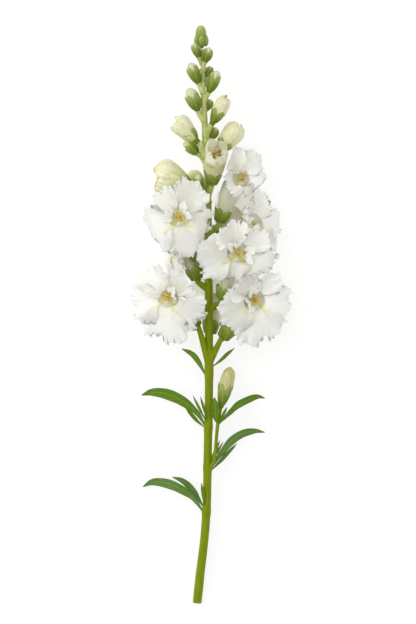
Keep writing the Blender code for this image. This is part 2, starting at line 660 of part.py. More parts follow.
def leaf_points(line, width, tilt, steps, columns):
    """A lance-shaped blade with a waved edge and a channel down its middle."""
    path = smooth_path(line, steps)
    tangent, up, side = frame_along(path, (0, 0, 1))
    share = np.r_[0, np.cumsum(np.linalg.norm(np.diff(path, axis=0), axis=1))]
    share /= share[-1]
    half = width / 2 * np.interp(share, LEAF_STOPS, LEAF_OUTLINE)
    lean = math.radians(tilt)
    out = []
    for k, centre in enumerate(path):
        flat = math.cos(lean) * side[k] + math.sin(lean) * up[k]
        lift = np.cross(flat, tangent[k])
        row = []
        for c in range(columns + 1):
            s = 2 * c / columns - 1
            rise = 0.16 * half[k] * abs(s)
            if 0.1 < share[k] < 0.95:
                rise += LEAF_WAVE * width * abs(s) * math.sin(3.1 * k + 1.6 * s)
            row.append(centre + flat * s * half[k] + lift * rise)
        out.append(row)
    return np.array(out)


def blade(name, foot, tip, width, collection):
    foot, tip = np.array(foot), np.array(tip)
    mid = (foot + tip) / 2 + np.array([0, 0, 0.8])
    points = leaf_points([foot, mid, tip], width, 0, 2, 2)
    return thicken(grid_sheet(name, points, False, collection))


def flattened(made):
    """Presses whatever dips below the table flat onto it."""
    for vert in made.data.vertices:
        vert.co.z = max(vert.co.z, 0.0)
    return made


def rods_in_the_way():
    """Round-ended rods that stand for the stem, the tubes and the buds, with their owners."""
    out = []
    axis = smooth_path(STEM, 1)
    for a, b in zip(axis[:-1], axis[1:]):
        out.append((a[:3], b[:3], a[3] + STEM_MARGIN, b[3] + STEM_MARGIN, None))
    for bud in BUDS.values():
        foot, tip = np.array(bud["foot"]), np.array(bud["tip"])
        along = unit(tip - foot)
        inner = foot + along * bud["half"] * 0.5
        outer = tip - along * bud["half"] * 0.8
        radius = bud["half"] + GAP + WALL + 1.0
        out.append((inner, outer, radius * 0.9, radius, None))
        root = stem_at(foot[1] - 5)[:3]
        out.append((root, foot, PEDICEL_RADIUS + STEM_MARGIN, PEDICEL_RADIUS + STEM_MARGIN + 0.6, None))
    for name, f in FLORETS.items():
        path = floret_axis(f, 9)[0]
        along = unit(path[1] - path[0])
        out.append((path[0], path[0] + along * CALYX_LENGTH * 0.9, *CALYX_ROOM, name))
        root = stem_at(f["foot"][1] - 6)[:3]
        out.append((root, path[0], PEDICEL_RADIUS + STEM_MARGIN, PEDICEL_RADIUS + STEM_MARGIN, name))
    return out


def pedicel(name, end, along, drop, collection):
    """A short stalk from inside the stem to end, which it meets along the calyx's axis."""
    root = stem_at(end[1] - drop)[:3]
    line = np.array([root, end - along * 2.2, end])
    radii = (PEDICEL_RADIUS * 1.15, PEDICEL_RADIUS * 1.05, PEDICEL_RADIUS)
    return rod(name, np.column_stack([line, radii]), 6, collection)


def build_stem():
    axis = np.array(STEM)
    pieces = [rod("stem_axis", axis, STEM_SIDES, joining)]
    pieces.append(rod("side_axis", smooth_path(SIDE_SHOOT, 1), 6, joining))
    pieces.append(bud_calyx("side_calyx", SIDE_SHOOT_BUD, joining))
    for name, bud in BUDS.items():
        pieces.append(bud_calyx(name + "_calyx", bud, joining))
        foot, along = np.array(bud["foot"]), axis_frame(bud["foot"], bud["tip"])[0]
        pieces.append(pedicel(name + "_stalk", foot + along * 0.15, along, 4.0 + bud["half"], joining))
    for name, f in FLORETS.items():
        base, along = calyx_base(f)[:2]
        end = base - along * (WALL / 2 + GAP + 0.1)
        pieces.append(pedicel(name + "_stalk", end, along, 7.0, joining))
    for k, (foot, tip, width) in enumerate(BLADES):
        pieces.append(blade(f"blade_{k}", foot, tip, width, joining))
    return fused("stem", pieces, part_collection, STEM_KEEP)


def build_tip_buds():
    """The tight knob of unopened buds at the very tip."""
    top = np.array(STEM[-1][:3])
    pieces = []
    for k, (offset, half, tall) in enumerate(TIP_KNOBS):
        bm = bmesh.new()
        bmesh.ops.create_uvsphere(bm, u_segments=7, v_segments=5, radius=1.0)
        for vert in bm.verts:
            pinch = 1 - 0.25 * max(vert.co.z, 0)
            place = top + np.array(offset) + np.array([vert.co.x * half * pinch, vert.co.z * tall,
                                                       vert.co.y * half * pinch])
            vert.co = Vector(place * MM)
        pieces.append(mesh_object(f"knob_{k}", bm, joining))
    return fused("tip_buds", pieces, part_collection)


def main():
    stem_green = material("stem_green", GREEN, 0.5)
    leaf_green = material("leaf_green", LEAF_GREEN, 0.45)
    sepal_green = material("sepal_green", SEPAL_GREEN, 0.5)
    bud_green = material("bud_green", BUD_GREEN, 0.5)
    petal_white = material("petal_white", WHITE, 0.6)
    anther_gold = material("anther_gold", ANTHER, 0.6)

    build_stem().data.materials.append(stem_green)
    build_tip_buds().data.materials.append(bud_green)
    for name, bud in BUDS.items():
        bud_body(name + "_petals", bud, part_collection).data.materials.append(bud_green)
    body = bud_body("side_shoot_bud_petals", SIDE_SHOOT_BUD, part_collection)
    body.data.materials.append(bud_green)
    for name, leaf in LEAVES.items():
        host = SIDE_SHOOT if name.startswith("leaf_side") else STEM
        points = leaf_points(seated(leaf["line"], host, leaf["width"]), leaf["width"], leaf["tilt"], 2, 2)
        made = flattened(thicken(grid_sheet(name, points, False, part_collection)))
        made.data.materials.append(leaf_green)
    for name, f in FLORETS.items():
        f["columns"] = HIDDEN_LOBE_COLUMNS if name in HIDDEN else LOBE_COLUMNS
        f["rows"] = HIDDEN_LIMB_ROWS if name in HIDDEN else LIMB_ROWS
    shapes = bent_clear({name: corolla_points(f) for name, f in FLORETS.items()}, rods_in_the_way())
    for name, f in FLORETS.items():
        ring = shapes[name][len(TUBE_SHARES)]
        pieces = [thicken(grid_sheet("limb", shapes[name], True, joining))]
        for lobe in INNER_LOBES[:f.get("inner", 0)]:
            pieces.append(inner_petal(f"inner_{lobe}", f, ring, lobe, joining))
        keep = PETALS_KEEP if len(pieces) > 1 else 1.0
        petals = fused(f"floret_{name}_petals", pieces, part_collection, keep)
        flattened(petals).data.materials.append(petal_white)
        sepals = floret_calyx(f"floret_{name}_sepals", f, part_collection)
        flattened(sepals).data.materials.append(sepal_green)
        if name in STAMENS_SHOWN:
            made = fused(f"floret_{name}_stamens", stamens(name, f, joining), part_collection)
            made.data.materials.append(anther_gold)
    bpy.data.collections.remove(joining)


main()
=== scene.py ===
"""The looks of a cut stem of white butterfly snapdragon that lies on a table: ruffled florets with
their sepals and stamens, buds, leaves and a finely hairy stem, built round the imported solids."""

import math

import bmesh
import bpy
import numpy as np
from mathutils import Matrix, Vector


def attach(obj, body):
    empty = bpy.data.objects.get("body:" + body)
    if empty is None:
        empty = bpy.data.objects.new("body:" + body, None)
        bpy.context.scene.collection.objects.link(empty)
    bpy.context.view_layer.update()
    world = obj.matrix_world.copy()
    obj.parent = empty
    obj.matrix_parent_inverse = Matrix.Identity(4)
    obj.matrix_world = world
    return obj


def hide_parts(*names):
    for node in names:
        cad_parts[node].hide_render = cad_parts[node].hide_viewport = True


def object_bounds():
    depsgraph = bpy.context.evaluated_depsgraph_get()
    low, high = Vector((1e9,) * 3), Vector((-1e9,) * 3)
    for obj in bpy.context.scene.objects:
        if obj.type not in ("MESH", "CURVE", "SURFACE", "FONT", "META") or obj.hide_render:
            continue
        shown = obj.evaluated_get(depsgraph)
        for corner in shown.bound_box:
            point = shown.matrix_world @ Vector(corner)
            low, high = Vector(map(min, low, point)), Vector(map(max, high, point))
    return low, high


bl_info = {
    "name": "Snapdragon Stem",
    "version": (1, 0, 0),
    "blender": (4, 5, 0),
    "location": "View3D > Sidebar > Snapdragon",
    "description": "Dresses the solids of a cut snapdragon stem in petals, leaves and hairs",
    "category": "Add Mesh",
}

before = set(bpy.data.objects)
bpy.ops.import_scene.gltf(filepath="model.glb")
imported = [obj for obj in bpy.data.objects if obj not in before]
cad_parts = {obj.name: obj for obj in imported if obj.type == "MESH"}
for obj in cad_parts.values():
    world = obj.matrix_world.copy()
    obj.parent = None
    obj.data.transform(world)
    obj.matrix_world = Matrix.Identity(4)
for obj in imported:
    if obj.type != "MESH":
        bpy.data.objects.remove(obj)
SOLID_LOW, SOLID_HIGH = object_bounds()

# Shape sizes are in millimetres until a mesh is written, then in metres.
MM = 0.001
TURN = 2 * math.pi
GAP = 0.3  # clearance between neighbouring solids
LOBES = 5
SEPALS = 5
MOUTH_RADIUS = 6.6  # of a full-size floret
TUBE_BASE_RADIUS = 4.0  # where the sepals hold the tube
TUBE_START = 0.04  # share of the tube's length where its closed foot lies
TUBE_STOPS = (0, 0.05, 0.2, 0.5, 0.8, 1.0)
TUBE_RADII = (0.0, TUBE_BASE_RADIUS * 0.75, TUBE_BASE_RADIUS, 5.2, 6.0, MOUTH_RADIUS)
TUBE_SIDES, TUBE_RINGS = 60, 20
CALYX_LENGTH = 8.0
CUP_FLOOR = 0.5  # height of the rounded floor of a cup of sepals
SOLID_WALL = 0.7  # petal and leaf thickness in the solids
SOLID_NOTCH = 0.74  # reach between two lobes against the reach at their middles, in the solids
SOLID_RUFFLE = 0.10
SOLID_TUBE_SHARES = (0.04, 0.07, 0.3, 0.62)
TUBE_ROWS = len(SOLID_TUBE_SHARES)
LOBE_ORDER = (0, 2, 3, 4, 1)  # place in a floret's lobes of each lobe round the mouth
LOBE_TURN = TURN / LOBES
LOBE_OVERLAP = 0.30  # extra breadth by which a lobe laps over the next
BARREL_CUP = 0.6  # florets more cupped than this stay a barrel
# Radius of the throat's depth against the mouth, depth to there, and from there to its floor.
OPEN_THROAT, BARREL_THROAT = (0.16, 1.2, 2.2), (0.35, 1.8, 2.4)
TEETH = ((0.020, 5.7), (0.014, 10.3), (0.045, 1.9))  # depth and waves along a lobe's edge
PLANE_SOFTNESS = 0.7  # depth over which a petal bends back from a parting plane
SEPAL_SPREAD = 1.22  # breadth of a sepal against its fifth of the cup
TABLE_GAP = 0.25  # from the table to the middle of the lowest petal
FACE_MARGIN = 0.75  # from a petal's middle to the parting plane
STEM_MARGIN = 1.4  # between the stem's skin and a petal's middle
STALK_HALF = 1.2  # half width of the rods that stand for stalks
CLEAR_ROUNDS = 16
PLANE_ROUNDS = 260
BUD_START = 1.45  # from a bud's foot to its closed petals
BUD_STOPS = (0, 0.06, 0.2, 0.42, 0.62, 0.8, 0.93, 1.0)
BUD_WIDTHS = (0.0, 0.40, 0.72, 0.95, 1.0, 0.86, 0.52, 0.0)
BUD_SIDES, BUD_RINGS = 32, 22
BUD_PETALS = (62, 122, 205, 270, 335)  # degrees round the bud, first the two of the hood
SMALL_BUD = 4.0  # half width up to which a bud has a coarser mesh
KNOB_SIDES, KNOB_RINGS = 30, 18
POD_SIDES, POD_RINGS = 10, 9
POD_HALF_LENGTH, POD_HALF_WIDTH = 0.85, 0.55
STALK_SIDES = 14
LEAF_STEPS = 14
LEAF_SINK = 0.4  # how far a leaf's foot lies inside its host's skin
LEAF_STOPS = (0, 0.06, 0.25, 0.5, 0.75, 0.93, 1.0)
LEAF_WIDTHS = (0.2, 0.22, 0.60, 1.0, 0.86, 0.32, 0.03)

# Meshes: rows and columns of a sheet.
OPEN_LOBE, HIDDEN_LOBE, INNER_PETAL = (26, 78), (16, 36), (13, 31)
SEPAL, LARGE_BUD_PETAL, SMALL_BUD_PETAL = (15, 13), (27, 33), (15, 17)

# Stem axis from the cut end to the tip: x, y, z, radius.
STEM = [
    (-10.9, -197.5, 3.09, 3.10),
    (-9.7, -186.0, 4.2, 3.15),
    (-8.6, -175.8, 5.3, 3.05),
    (-6.5, -158.8, 7.0, 2.95),
    (-5.1, -143.8, 8.6, 2.95),
    (-4.1, -124.8, 10.7, 2.90),
    (-3.5, -90.8, 14.3, 2.90),
    (-2.8, -56.8, 17.9, 2.88),
    (-2.7, -19.4, 21.8, 2.85),
    (-2.9, 20.0, 25.3, 2.75),
    (-3.3, 60.0, 28.4, 2.60),
    (-3.8, 90.0, 30.5, 2.45),
    (-5.2, 120.0, 32.5, 2.20),
    (-5.7, 133.6, 33.3, 2.00),
    (-6.5, 147.2, 34.1, 1.75),
    (-6.8, 167.6, 35.2, 1.15),
    (-7.6, 181.0, 35.8, 0.95),
]
STEM_NODES = (-134.0, -104.0, -75.5, -40.0, -34.0)  # where leaves leave the stem, along y

# Side shoot axis: x, y, z, radius.
SIDE_SHOOT = [
    (-2.0, -103.5, 14.0, 1.2),
    (0.6, -99.5, 16.6, 1.25),
    (1.6, -92.0, 18.4, 1.2),
    (3.0, -76.0, 20.4, 1.15),
    (3.9, -70.0, 21.0, 1.2),
    (5.05, -62.65, 21.6, 1.3),
]

# Open florets: calyx foot, mouth centre, facing, limb radius, lobe reach (two upper, then lower
# right, lower middle, lower left), cup (how far the limb stays forward, 0 flat to 1 upright) and
# turn of the lobes. Some also have: girth of the tube, belly of its outer wall, trim (another
# factor on each lobe's reach), twist of the lobes beyond the solid's, drop (how far below the
# calyx the stalk leaves the stem) and frills (inner petals: place round the mouth, size).
FLORETS = {
    "front_top": dict(
        foot=(-0.8, 90.0, 38.4), mouth=(1.8, 106.0, 50.0), face=(0.08, 0.46, 0.88), reach=13.0,
        lobes=(1.0, 1.0, 0.9, 0.85, 0.95), cup=0.95, turn=10, girth=1.3,
        trim=(1.15, 1.0, 0.9, 0.75, 1.0), frills=((0.2, 0.50), (3.3, 0.42))),
    "right_top": dict(
        foot=(4.0, 63.5, 33.0), mouth=(18.6, 93.0, 42.0), face=(0.50, 0.20, 0.84), reach=20.0,
        lobes=(1.05, 1.0, 0.95, 0.8, 0.85), cup=0.32, turn=0, belly=1.35,
        trim=(0.95, 0.95, 0.82, 0.72, 0.95), frills=((0.3, 0.30),)),
    "left_front": dict(
        foot=(-9.5, 37.5, 33.0), mouth=(-22.6, 66.5, 45.0), face=(-0.22, 0.12, 0.96), reach=27.0,
        lobes=(0.92, 0.95, 1.0, 1.05, 1.0), cup=0.2, turn=8, trim=(0.84, 1.02, 1.04, 1.0, 0.86),
        twist=-3.0, frills=((1.0, 0.42), (4.1, 0.46))),
    "right_front": dict(
        foot=(5.6, 11.0, 32.0), mouth=(17.0, 42.5, 46.5), face=(0.16, -0.08, 0.98), reach=28.0,
        lobes=(0.74, 0.74, 1.04, 0.72, 0.98), cup=0.28, turn=-6,
        trim=(1.05, 1.05, 1.02, 0.98, 1.06), twist=-6.0, frills=((0.5, 0.40), (3.8, 0.42))),
    "right_rear": dict(
        foot=(5.4, 40.0, 25.5), mouth=(28.5, 63.5, 26.0), face=(0.64, 0.40, 0.65), reach=22.5,
        lobes=(1.0, 1.0, 1.0, 0.95, 0.9), cup=0.15, turn=10, belly=1.2,
        trim=(0.8, 1.05, 0.55, 0.95, 1.16)),
    "left_rear": dict(
        foot=(-10.4, 25.0, 25.0), mouth=(-25.0, 46.5, 27.0), face=(-0.80, 0.0, 0.40), reach=18.0,
        lobes=(1.0, 0.9, 1.0, 1.1, 1.1), cup=0.15, turn=0),
    "left_low": dict(
        foot=(-10.5, -8.0, 26.5), mouth=(-30.5, 13.0, 33.0), face=(-0.34, -0.04, 0.94), reach=26.0,
        lobes=(0.85, 0.8, 1.0, 1.2, 1.12), cup=0.2, turn=-10, drop=25.0, frills=((0.8, 0.42),
        (4.4, 0.40))),
    "right_low": dict(
        foot=(5.8, -15.5, 26.0), mouth=(28.0, 11.0, 31.5), face=(0.34, -0.02, 0.94), reach=26.5,
        lobes=(0.92, 0.85, 1.02, 1.18, 1.0), cup=0.2, turn=8, drop=17.0, frills=((0.2, 0.44),
        (1.6, 0.38))),
    "under_left": dict(
        foot=(-9.5, 57.0, 23.0), mouth=(-22.5, 76.0, 9.0), face=(-0.55, 0.45, -0.70), reach=19.0,
        lobes=(1.0, 1.0, 1.0, 1.0, 1.0), cup=0.15, turn=0),
    "under_right": dict(
        foot=(-0.6, 51.5, 17.6), mouth=(14.5, 69.5, 8.5), face=(0.52, 0.42, -0.74), reach=19.0,
        lobes=(1.0, 1.0, 1.0, 1.0, 1.0), cup=0.2, turn=0),
    "under_low": dict(
        foot=(-2.0, -12.0, 14.6), mouth=(1.0, 10.0, 8.0), face=(0.10, 0.55, -0.83), reach=19.0,
        lobes=(1.0, 1.0, 1.0, 1.0, 1.0), cup=0.2, turn=0),
}
HIDDEN = ("left_rear", "under_left", "under_right", "under_low")

# Stamens: place of the head above and beside the mouth's middle, in mouth radii, and its rise.
CLUSTER = ((0.34, 0.10, 4.4), (0.20, -0.14, 3.4), (0.02, 0.12, 3.0), (-0.16, -0.04, 2.2))
STRAIGHT_ROW = ((0.62, 0.62, 6.2), (0.40, 0.34, 5.2), (0.16, 0.06, 3.8), (0.0, -0.50, 3.0))
STAMENS = {"front_top": CLUSTER, "right_top": CLUSTER, "left_front": CLUSTER,
           "right_front": STRAIGHT_ROW, "left_low": CLUSTER, "right_low": CLUSTER}

# Buds: foot, tip, half width and share of the length that the sepals cover. Some also have: lips
# (how far they have parted, 0 shut to 1 open), roll in degrees, and blunt (how far the widest part
# moves towards the tip).
BUDS = {
    "bud_01": dict(foot=(-9.6, 175.4, 38.4), tip=(-13.0, 184.4, 42.0), half=2.0, cover=0.85),
    "bud_02": dict(foot=(-5.6, 172.0, 37.6), tip=(-2.2, 181.8, 40.0), half=2.6, cover=0.8),
    "bud_03": dict(foot=(-9.6, 157.6, 35.8), tip=(-15.6, 171.6, 38.0), half=3.3, cover=0.75),
    "bud_04": dict(foot=(-4.6, 162.0, 32.0), tip=(-1.2, 169.8, 30.0), half=2.0, cover=0.85),
    "bud_05": dict(foot=(-3.2, 151.6, 35.4), tip=(3.2, 166.2, 38.2), half=3.3, cover=0.75),
    "bud_06": dict(foot=(-10.0, 139.0, 35.4), tip=(-16.4, 154.4, 38.0), half=4.0, cover=0.66),
    "bud_07": dict(foot=(-1.4, 129.6, 36.0), tip=(9.8, 149.0, 39.5), half=4.7, cover=0.44, lips=0.6,
                   roll=160.0, blunt=0.4),
    "bud_08": dict(foot=(-5.4, 140.0, 29.6), tip=(-1.2, 147.6, 25.6), half=2.1, cover=0.8),
    "bud_09": dict(foot=(-9.6, 117.5, 36.0), tip=(-26.0, 133.8, 39.0), half=6.3, cover=0.36,
                   lips=0.8, roll=-12.0, blunt=0.6),
    "bud_10": dict(foot=(-9.6, 110.0, 30.0), tip=(-19.6, 119.6, 25.6), half=3.2, cover=0.6),
    "bud_11": dict(foot=(-2.4, 120.6, 29.4), tip=(2.6, 128.4, 24.6), half=2.7, cover=0.7),
    "bud_12": dict(foot=(2.2, 110.0, 31.0), tip=(18.4, 130.8, 27.5), half=6.9, cover=0.32, lips=0.3,
                   blunt=0.5),
    "bud_13": dict(foot=(-12.6, 89.5, 34.5), tip=(-40.0, 97.5, 38.0), half=10.2, cover=0.20,
                   lips=1.0, roll=-18.0, blunt=0.8),
    "bud_14": dict(foot=(-8.8, 86.5, 37.0), tip=(-10.4, 96.0, 41.5), half=2.2, cover=0.7),
    "bud_15": dict(foot=(-0.8, 98.0, 24.0), tip=(6.0, 112.0, 13.5), half=4.8, cover=0.5),
    "bud_16": dict(foot=(-8.8, 84.0, 22.6), tip=(-14.0, 100.0, 12.5), half=5.2, cover=0.45),
}
SIDE_SHOOT_BUD = dict(foot=(5.0, -62.8, 21.6), tip=(12.0, -34.6, 24.0), half=4.4, cover=0.5,
                      blunt=0.3)
ALL_BUDS = {**BUDS, "side_shoot_bud": SIDE_SHOOT_BUD}

# Knob at the tip: offset from the end of the axis, half width, half length.
TIP_KNOBS = [
    ((-0.6, 11.2, 0.6), 4.0, 5.2),
    ((-3.3, 6.2, -0.6), 2.2, 4.0),
    ((2.7, 6.0, -0.4), 2.1, 4.0),
    ((-0.3, 6.4, 2.4), 2.2, 4.4),
    ((-0.1, 5.3, -0.7), 2.4, 4.8),
]

# Leaves: midline x, y, z from foot to tip, widest width, upward turn of the blade's face.
LEAVES = {
    "leaf_left_middle": dict(
        line=[(-6.3, -74.5, 17.0), (-11.6, -65.0, 20.0), (-21.5, -57.0, 22.0), (-32.0, -52.6, 21.0),
        (-41.5, -51.8, 17.5), (-49.2, -54.1, 12.0)], width=8.2, tilt=28),
    "leaf_left_middle_narrow": dict(
        line=[(-6.4, -76.0, 14.5), (-11.0, -71.5, 14.5), (-15.5, -66.4, 13.2),
        (-19.0, -62.6, 11.0)], width=2.6, tilt=-15),
    "leaf_side_right": dict(
        line=[(5.6, -73.8, 20.4), (10.6, -66.5, 22.0), (17.0, -60.2, 23.0), (25.5, -56.0, 22.0),
        (31.0, -54.8, 19.5), (35.6, -56.1, 16.0)], width=5.4, tilt=-30),
    "leaf_side_front": dict(
        line=[(2.6, -73.6, 22.8), (1.7, -68.0, 25.0), (1.4, -61.0, 26.6),
        (0.9, -55.0, 26.0)], width=5.6, tilt=0),
    "leaf_right_low": dict(
        line=[(-0.2, -104.4, 12.0), (5.6, -93.6, 14.6), (13.0, -84.6, 18.0), (20.4, -79.9, 18.5),
        (28.6, -78.4, 16.0), (35.6, -79.6, 12.0)], width=6.2, tilt=-30),
    "leaf_right_low_narrow": dict(
        line=[(-1.0, -106.4, 11.0), (5.6, -99.0, 10.6), (11.0, -93.0, 10.0),
        (16.5, -87.6, 8.0)], width=2.8, tilt=20),
    "leaf_left_low": dict(
        line=[(-7.8, -134.0, 10.5), (-14.0, -124.0, 14.5), (-24.0, -117.0, 16.5),
        (-33.0, -113.9, 15.0), (-41.6, -113.8, 10.5), (-48.4, -117.6, 4.5)], width=7.2, tilt=28),
    "leaf_left_low_rear": dict(
        line=[(-7.6, -131.4, 7.6), (-12.5, -121.0, 9.0), (-20.0, -113.5, 9.5),
        (-28.0, -110.6, 7.0)], width=4.6, tilt=25),
    "leaf_left_top": dict(
        line=[(-6.2, -40.2, 19.8), (-9.4, -31.6, 21.4), (-14.2, -25.6, 21.4),
        (-21.4, -22.1, 18.5)], width=4.0, tilt=25),
    "leaf_right_top": dict(
        line=[(0.9, -34.0, 20.6), (5.6, -29.6, 20.4), (9.8, -25.6, 19.0),
        (14.7, -21.8, 16.5)], width=2.6, tilt=-25),
}

# Small blades in the leaf axils: foot, tip, width.
BLADES = [
    ((-4.4, -72.5, 18.8), (-13.8, -53.8, 26.0), 1.7),
    ((-4.0, -70.5, 19.2), (-8.6, -54.5, 26.5), 1.7),
    ((-2.6, -101.5, 15.2), (4.9, -84.5, 20.2), 1.9),
    ((-2.0, -101.0, 14.4), (7.1, -85.8, 17.6), 1.6),
    ((-5.2, -131.5, 12.0), (-8.0, -114.2, 15.6), 2.2),
    ((4.0, -73.0, 21.2), (9.6, -61.6, 26.4), 2.0),
]

# Hairs on the stem: y of the first, length along y, crowding towards the tip (even at 1), and
# share of the stem's radius where their roots sit.
HAIRS_FROM, HAIRS_SPAN, HAIRS_CROWD = -40.0, 222.0, 0.7
HAIR_SINK = 0.97
HAIR_RADIUS = 0.00005  # metres, at the root

# Picture frame: millimetres to a pixel, the picture's height and its middle in the part's frame.
PIXEL = 0.68
PICTURE_HEIGHT = 624
PICTURE_MIDDLE = (-3.4, 3.06, 30.0)
TABLE_HALF, FAR_CLIP = 3.0, 20.0  # metres


def colour(name, text, default):
    return bpy.props.FloatVectorProperty(name=name, description=text, subtype="COLOR", size=3,
                                         min=0.0, max=1.0, default=default)


def length(name, text, default):
    return bpy.props.FloatProperty(name=name, description=text, subtype="DISTANCE", unit="LENGTH",
                                   min=0.0, default=default)


def share(name, text, default):
    return bpy.props.FloatProperty(name=name, description=text, subtype="FACTOR", min=0.0, max=1.0,
                                   default=default)


def amount(name, text, default):
    return bpy.props.FloatProperty(name=name, description=text, min=0.0, default=default)


class SNAPDRAGON_PG_petals(bpy.types.PropertyGroup):
    """Sizes and colours of the open florets' petals and stamens."""
    white: colour("White", "Colour of the spread lobes", (0.93, 0.92, 0.89))
    cream: colour("Cream", "Colour of the tube", (0.96, 0.93, 0.60))
    throat: colour("Throat", "Yellow patch at the mouth", (0.92, 0.82, 0.10))
    foot: colour("Foot", "Green at the foot of the tube", (0.82, 0.83, 0.38))
    anther: colour("Anther", "Colour of the pollen sacs", (0.80, 0.46, 0.05))
    filament: colour("Filament", "Colour of the stamens' stalks", (0.78, 0.76, 0.40))
    thickness: length("Thickness", "Thickness of a petal", 0.00032)
    ruffle: share("Ruffle", "Depth of the fine waves at a lobe's edge against its reach", 0.045)


class SNAPDRAGON_PG_greens(bpy.types.PropertyGroup):
    """Sizes and colours of the stem, the leaves, the sepals and the buds."""
    stem_low: colour("Lower stem", "Colour of the stem near the cut", (0.22, 0.285, 0.002))
    stem_high: colour("Upper stem", "Colour of the stem between the buds", (0.62, 0.66, 0.26))
    leaf: colour("Leaf", "Colour of the leaf blades", (0.105, 0.215, 0.006))
    leaf_low: colour("Lower leaf", "Bluer green of the lowest leaves", (0.12, 0.235, 0.05))
    midrib: colour("Midrib", "Paler line along a leaf's middle", (0.30, 0.40, 0.09))
    sepal: colour("Sepal", "Colour of the sepals at their foot", (0.13, 0.21, 0.005))
    sepal_top: colour("Sepal top", "Colour of the sepals further up", (0.22, 0.31, 0.03))
    sepal_rim: colour("Sepal rim", "Pale rim of a bud's sepals", (0.62, 0.64, 0.28))
    bud_tip: colour("Bud tip", "Pale tip of a closed bud", (0.90, 0.87, 0.56))
    bud_foot: colour("Bud foot", "Green side of a bud's petals", (0.56, 0.62, 0.20))
    opening: colour("Opening bud", "Pale petals of a bud that opens", (0.98, 0.95, 0.62))
    side_bud: colour("Side bud", "Khaki of the side shoot's bud", (0.60, 0.56, 0.26))
    hair: colour("Hair", "Colour of the fine hairs", (0.75, 0.80, 0.55))
    leaf_thickness: length("Leaf thickness", "Thickness of a leaf blade", 0.00045)
    sepal_thickness: length("Sepal thickness", "Thickness of a sepal", 0.00045)
    bud_thickness: length("Bud petal thickness", "Thickness of a bud's petal", 0.0003)
    hair_length: length("Hair length", "Length of a stem hair", 0.0007)
    hairs: bpy.props.IntProperty(name="Hairs", description="Number of hairs on the stem", min=0,
                                 default=3000)


class SNAPDRAGON_PG_stage(bpy.types.PropertyGroup):
    """Floor, light and camera."""
    floor: colour("Floor", "Colour of the table", (0.32, 0.32, 0.32))
    floor_glow: share("Floor glow", "Light that the table gives off", 0.72)
    sky: amount("Soft light", "Strength of the light all round", 0.56)
    sun: amount("Key light", "Strength of the light from upper left", 1.0)
    front: amount("Front light", "Strength of the light from above", 0.85)
    sun_spread: bpy.props.FloatProperty(name="Spread", description="Softness of the key light",
                                        subtype="ANGLE", min=0.0, default=math.radians(50))
    lens: amount("Lens", "Focal length of the camera in millimetres", 150.0)


def unit(v):
    v = np.asarray(v, dtype=float)
    return v / max(np.linalg.norm(v), 1e-9)


def across(direction, along):
    """The part of direction that is square to along, as a unit vector."""
    along = unit(along)
    direction = np.asarray(direction, dtype=float)
    return unit(direction - along * float(direction @ along))


def smooth_path(points, steps):
    """A Catmull-Rom path through points, with steps samples to each span."""
    pts = np.asarray(points, dtype=float)
    ends = np.vstack([2 * pts[0] - pts[1], pts, 2 * pts[-1] - pts[-2]])
    out = []
    for k in range(1, len(ends) - 2):
        a, b, c, d = ends[k - 1], ends[k], ends[k + 1], ends[k + 2]
        for i in range(steps):
            t = i / steps
            out.append(0.5 * (2 * b + (c - a) * t + (2 * a - 5 * b + 4 * c - d) * t * t
                              + (3 * b - a - 3 * c + d) * t ** 3))
    out.append(pts[-1])
    return np.array(out)


def smooth_curve(x, stops, heights):
    """A rounded curve through the stops, read at x."""
    line = smooth_path(np.column_stack([stops, heights]), 8)
    return np.interp(x, line[:, 0], line[:, 1])


def ease(x, low, high):
    t = np.clip((np.asarray(x, dtype=float) - low) / (high - low), 0, 1)
    return t * t * (3 - 2 * t)


def hermite(a, b, direction_a, direction_b, steps):
    a, b = np.asarray(a, float), np.asarray(b, float)
    span = np.linalg.norm(b - a)
    ta, tb = unit(direction_a) * span, unit(direction_b) * span
    t = np.linspace(0, 1, steps)[:, None]
    return ((2 * t ** 3 - 3 * t ** 2 + 1) * a + (t ** 3 - 2 * t ** 2 + t) * ta
            + (3 * t ** 2 - 2 * t ** 3) * b + (t ** 3 - t ** 2) * tb)


def frame_along(path, upward):
    """Unit tangent, upward and sideways vectors at each point of path."""
    tangent = np.gradient(path, axis=0)
    tangent /= np.linalg.norm(tangent, axis=1)[:, None]
    up = np.array([across(upward, t) for t in tangent])
    return tangent, up, np.cross(tangent, up)


def axis_frame(foot, tip):
    along = unit(np.subtract(tip, foot))
    up = across((0, 0, 1), along)
    return along, up, np.cross(along, up)


def ring(turns, up, side):
    """Unit vectors at angles round an axis, from up towards side."""
    return np.cos(turns)[..., None] * up + np.sin(turns)[..., None] * side


def turns_round(sides):
    return np.arange(sides) / sides * TURN


def distances(path):
    """How far along the path each of its points lies."""
    return np.r_[0, np.cumsum(np.linalg.norm(np.diff(path, axis=0), axis=1))]


def sheet(rows, columns, start=0.0):
    """Shares from start to 1 down the rows of a sheet, and from -1 to 1 across its columns."""
    return np.linspace(start, 1, rows)[:, None], np.linspace(-1, 1, columns)[None, :]


def wave(u, cycles, start):
    return np.sin(TURN * (cycles * u + start))


def stem_at(y):
    table = np.array(STEM)
    return np.array([np.interp(y, table[:, 1], table[:, k]) for k in range(4)])


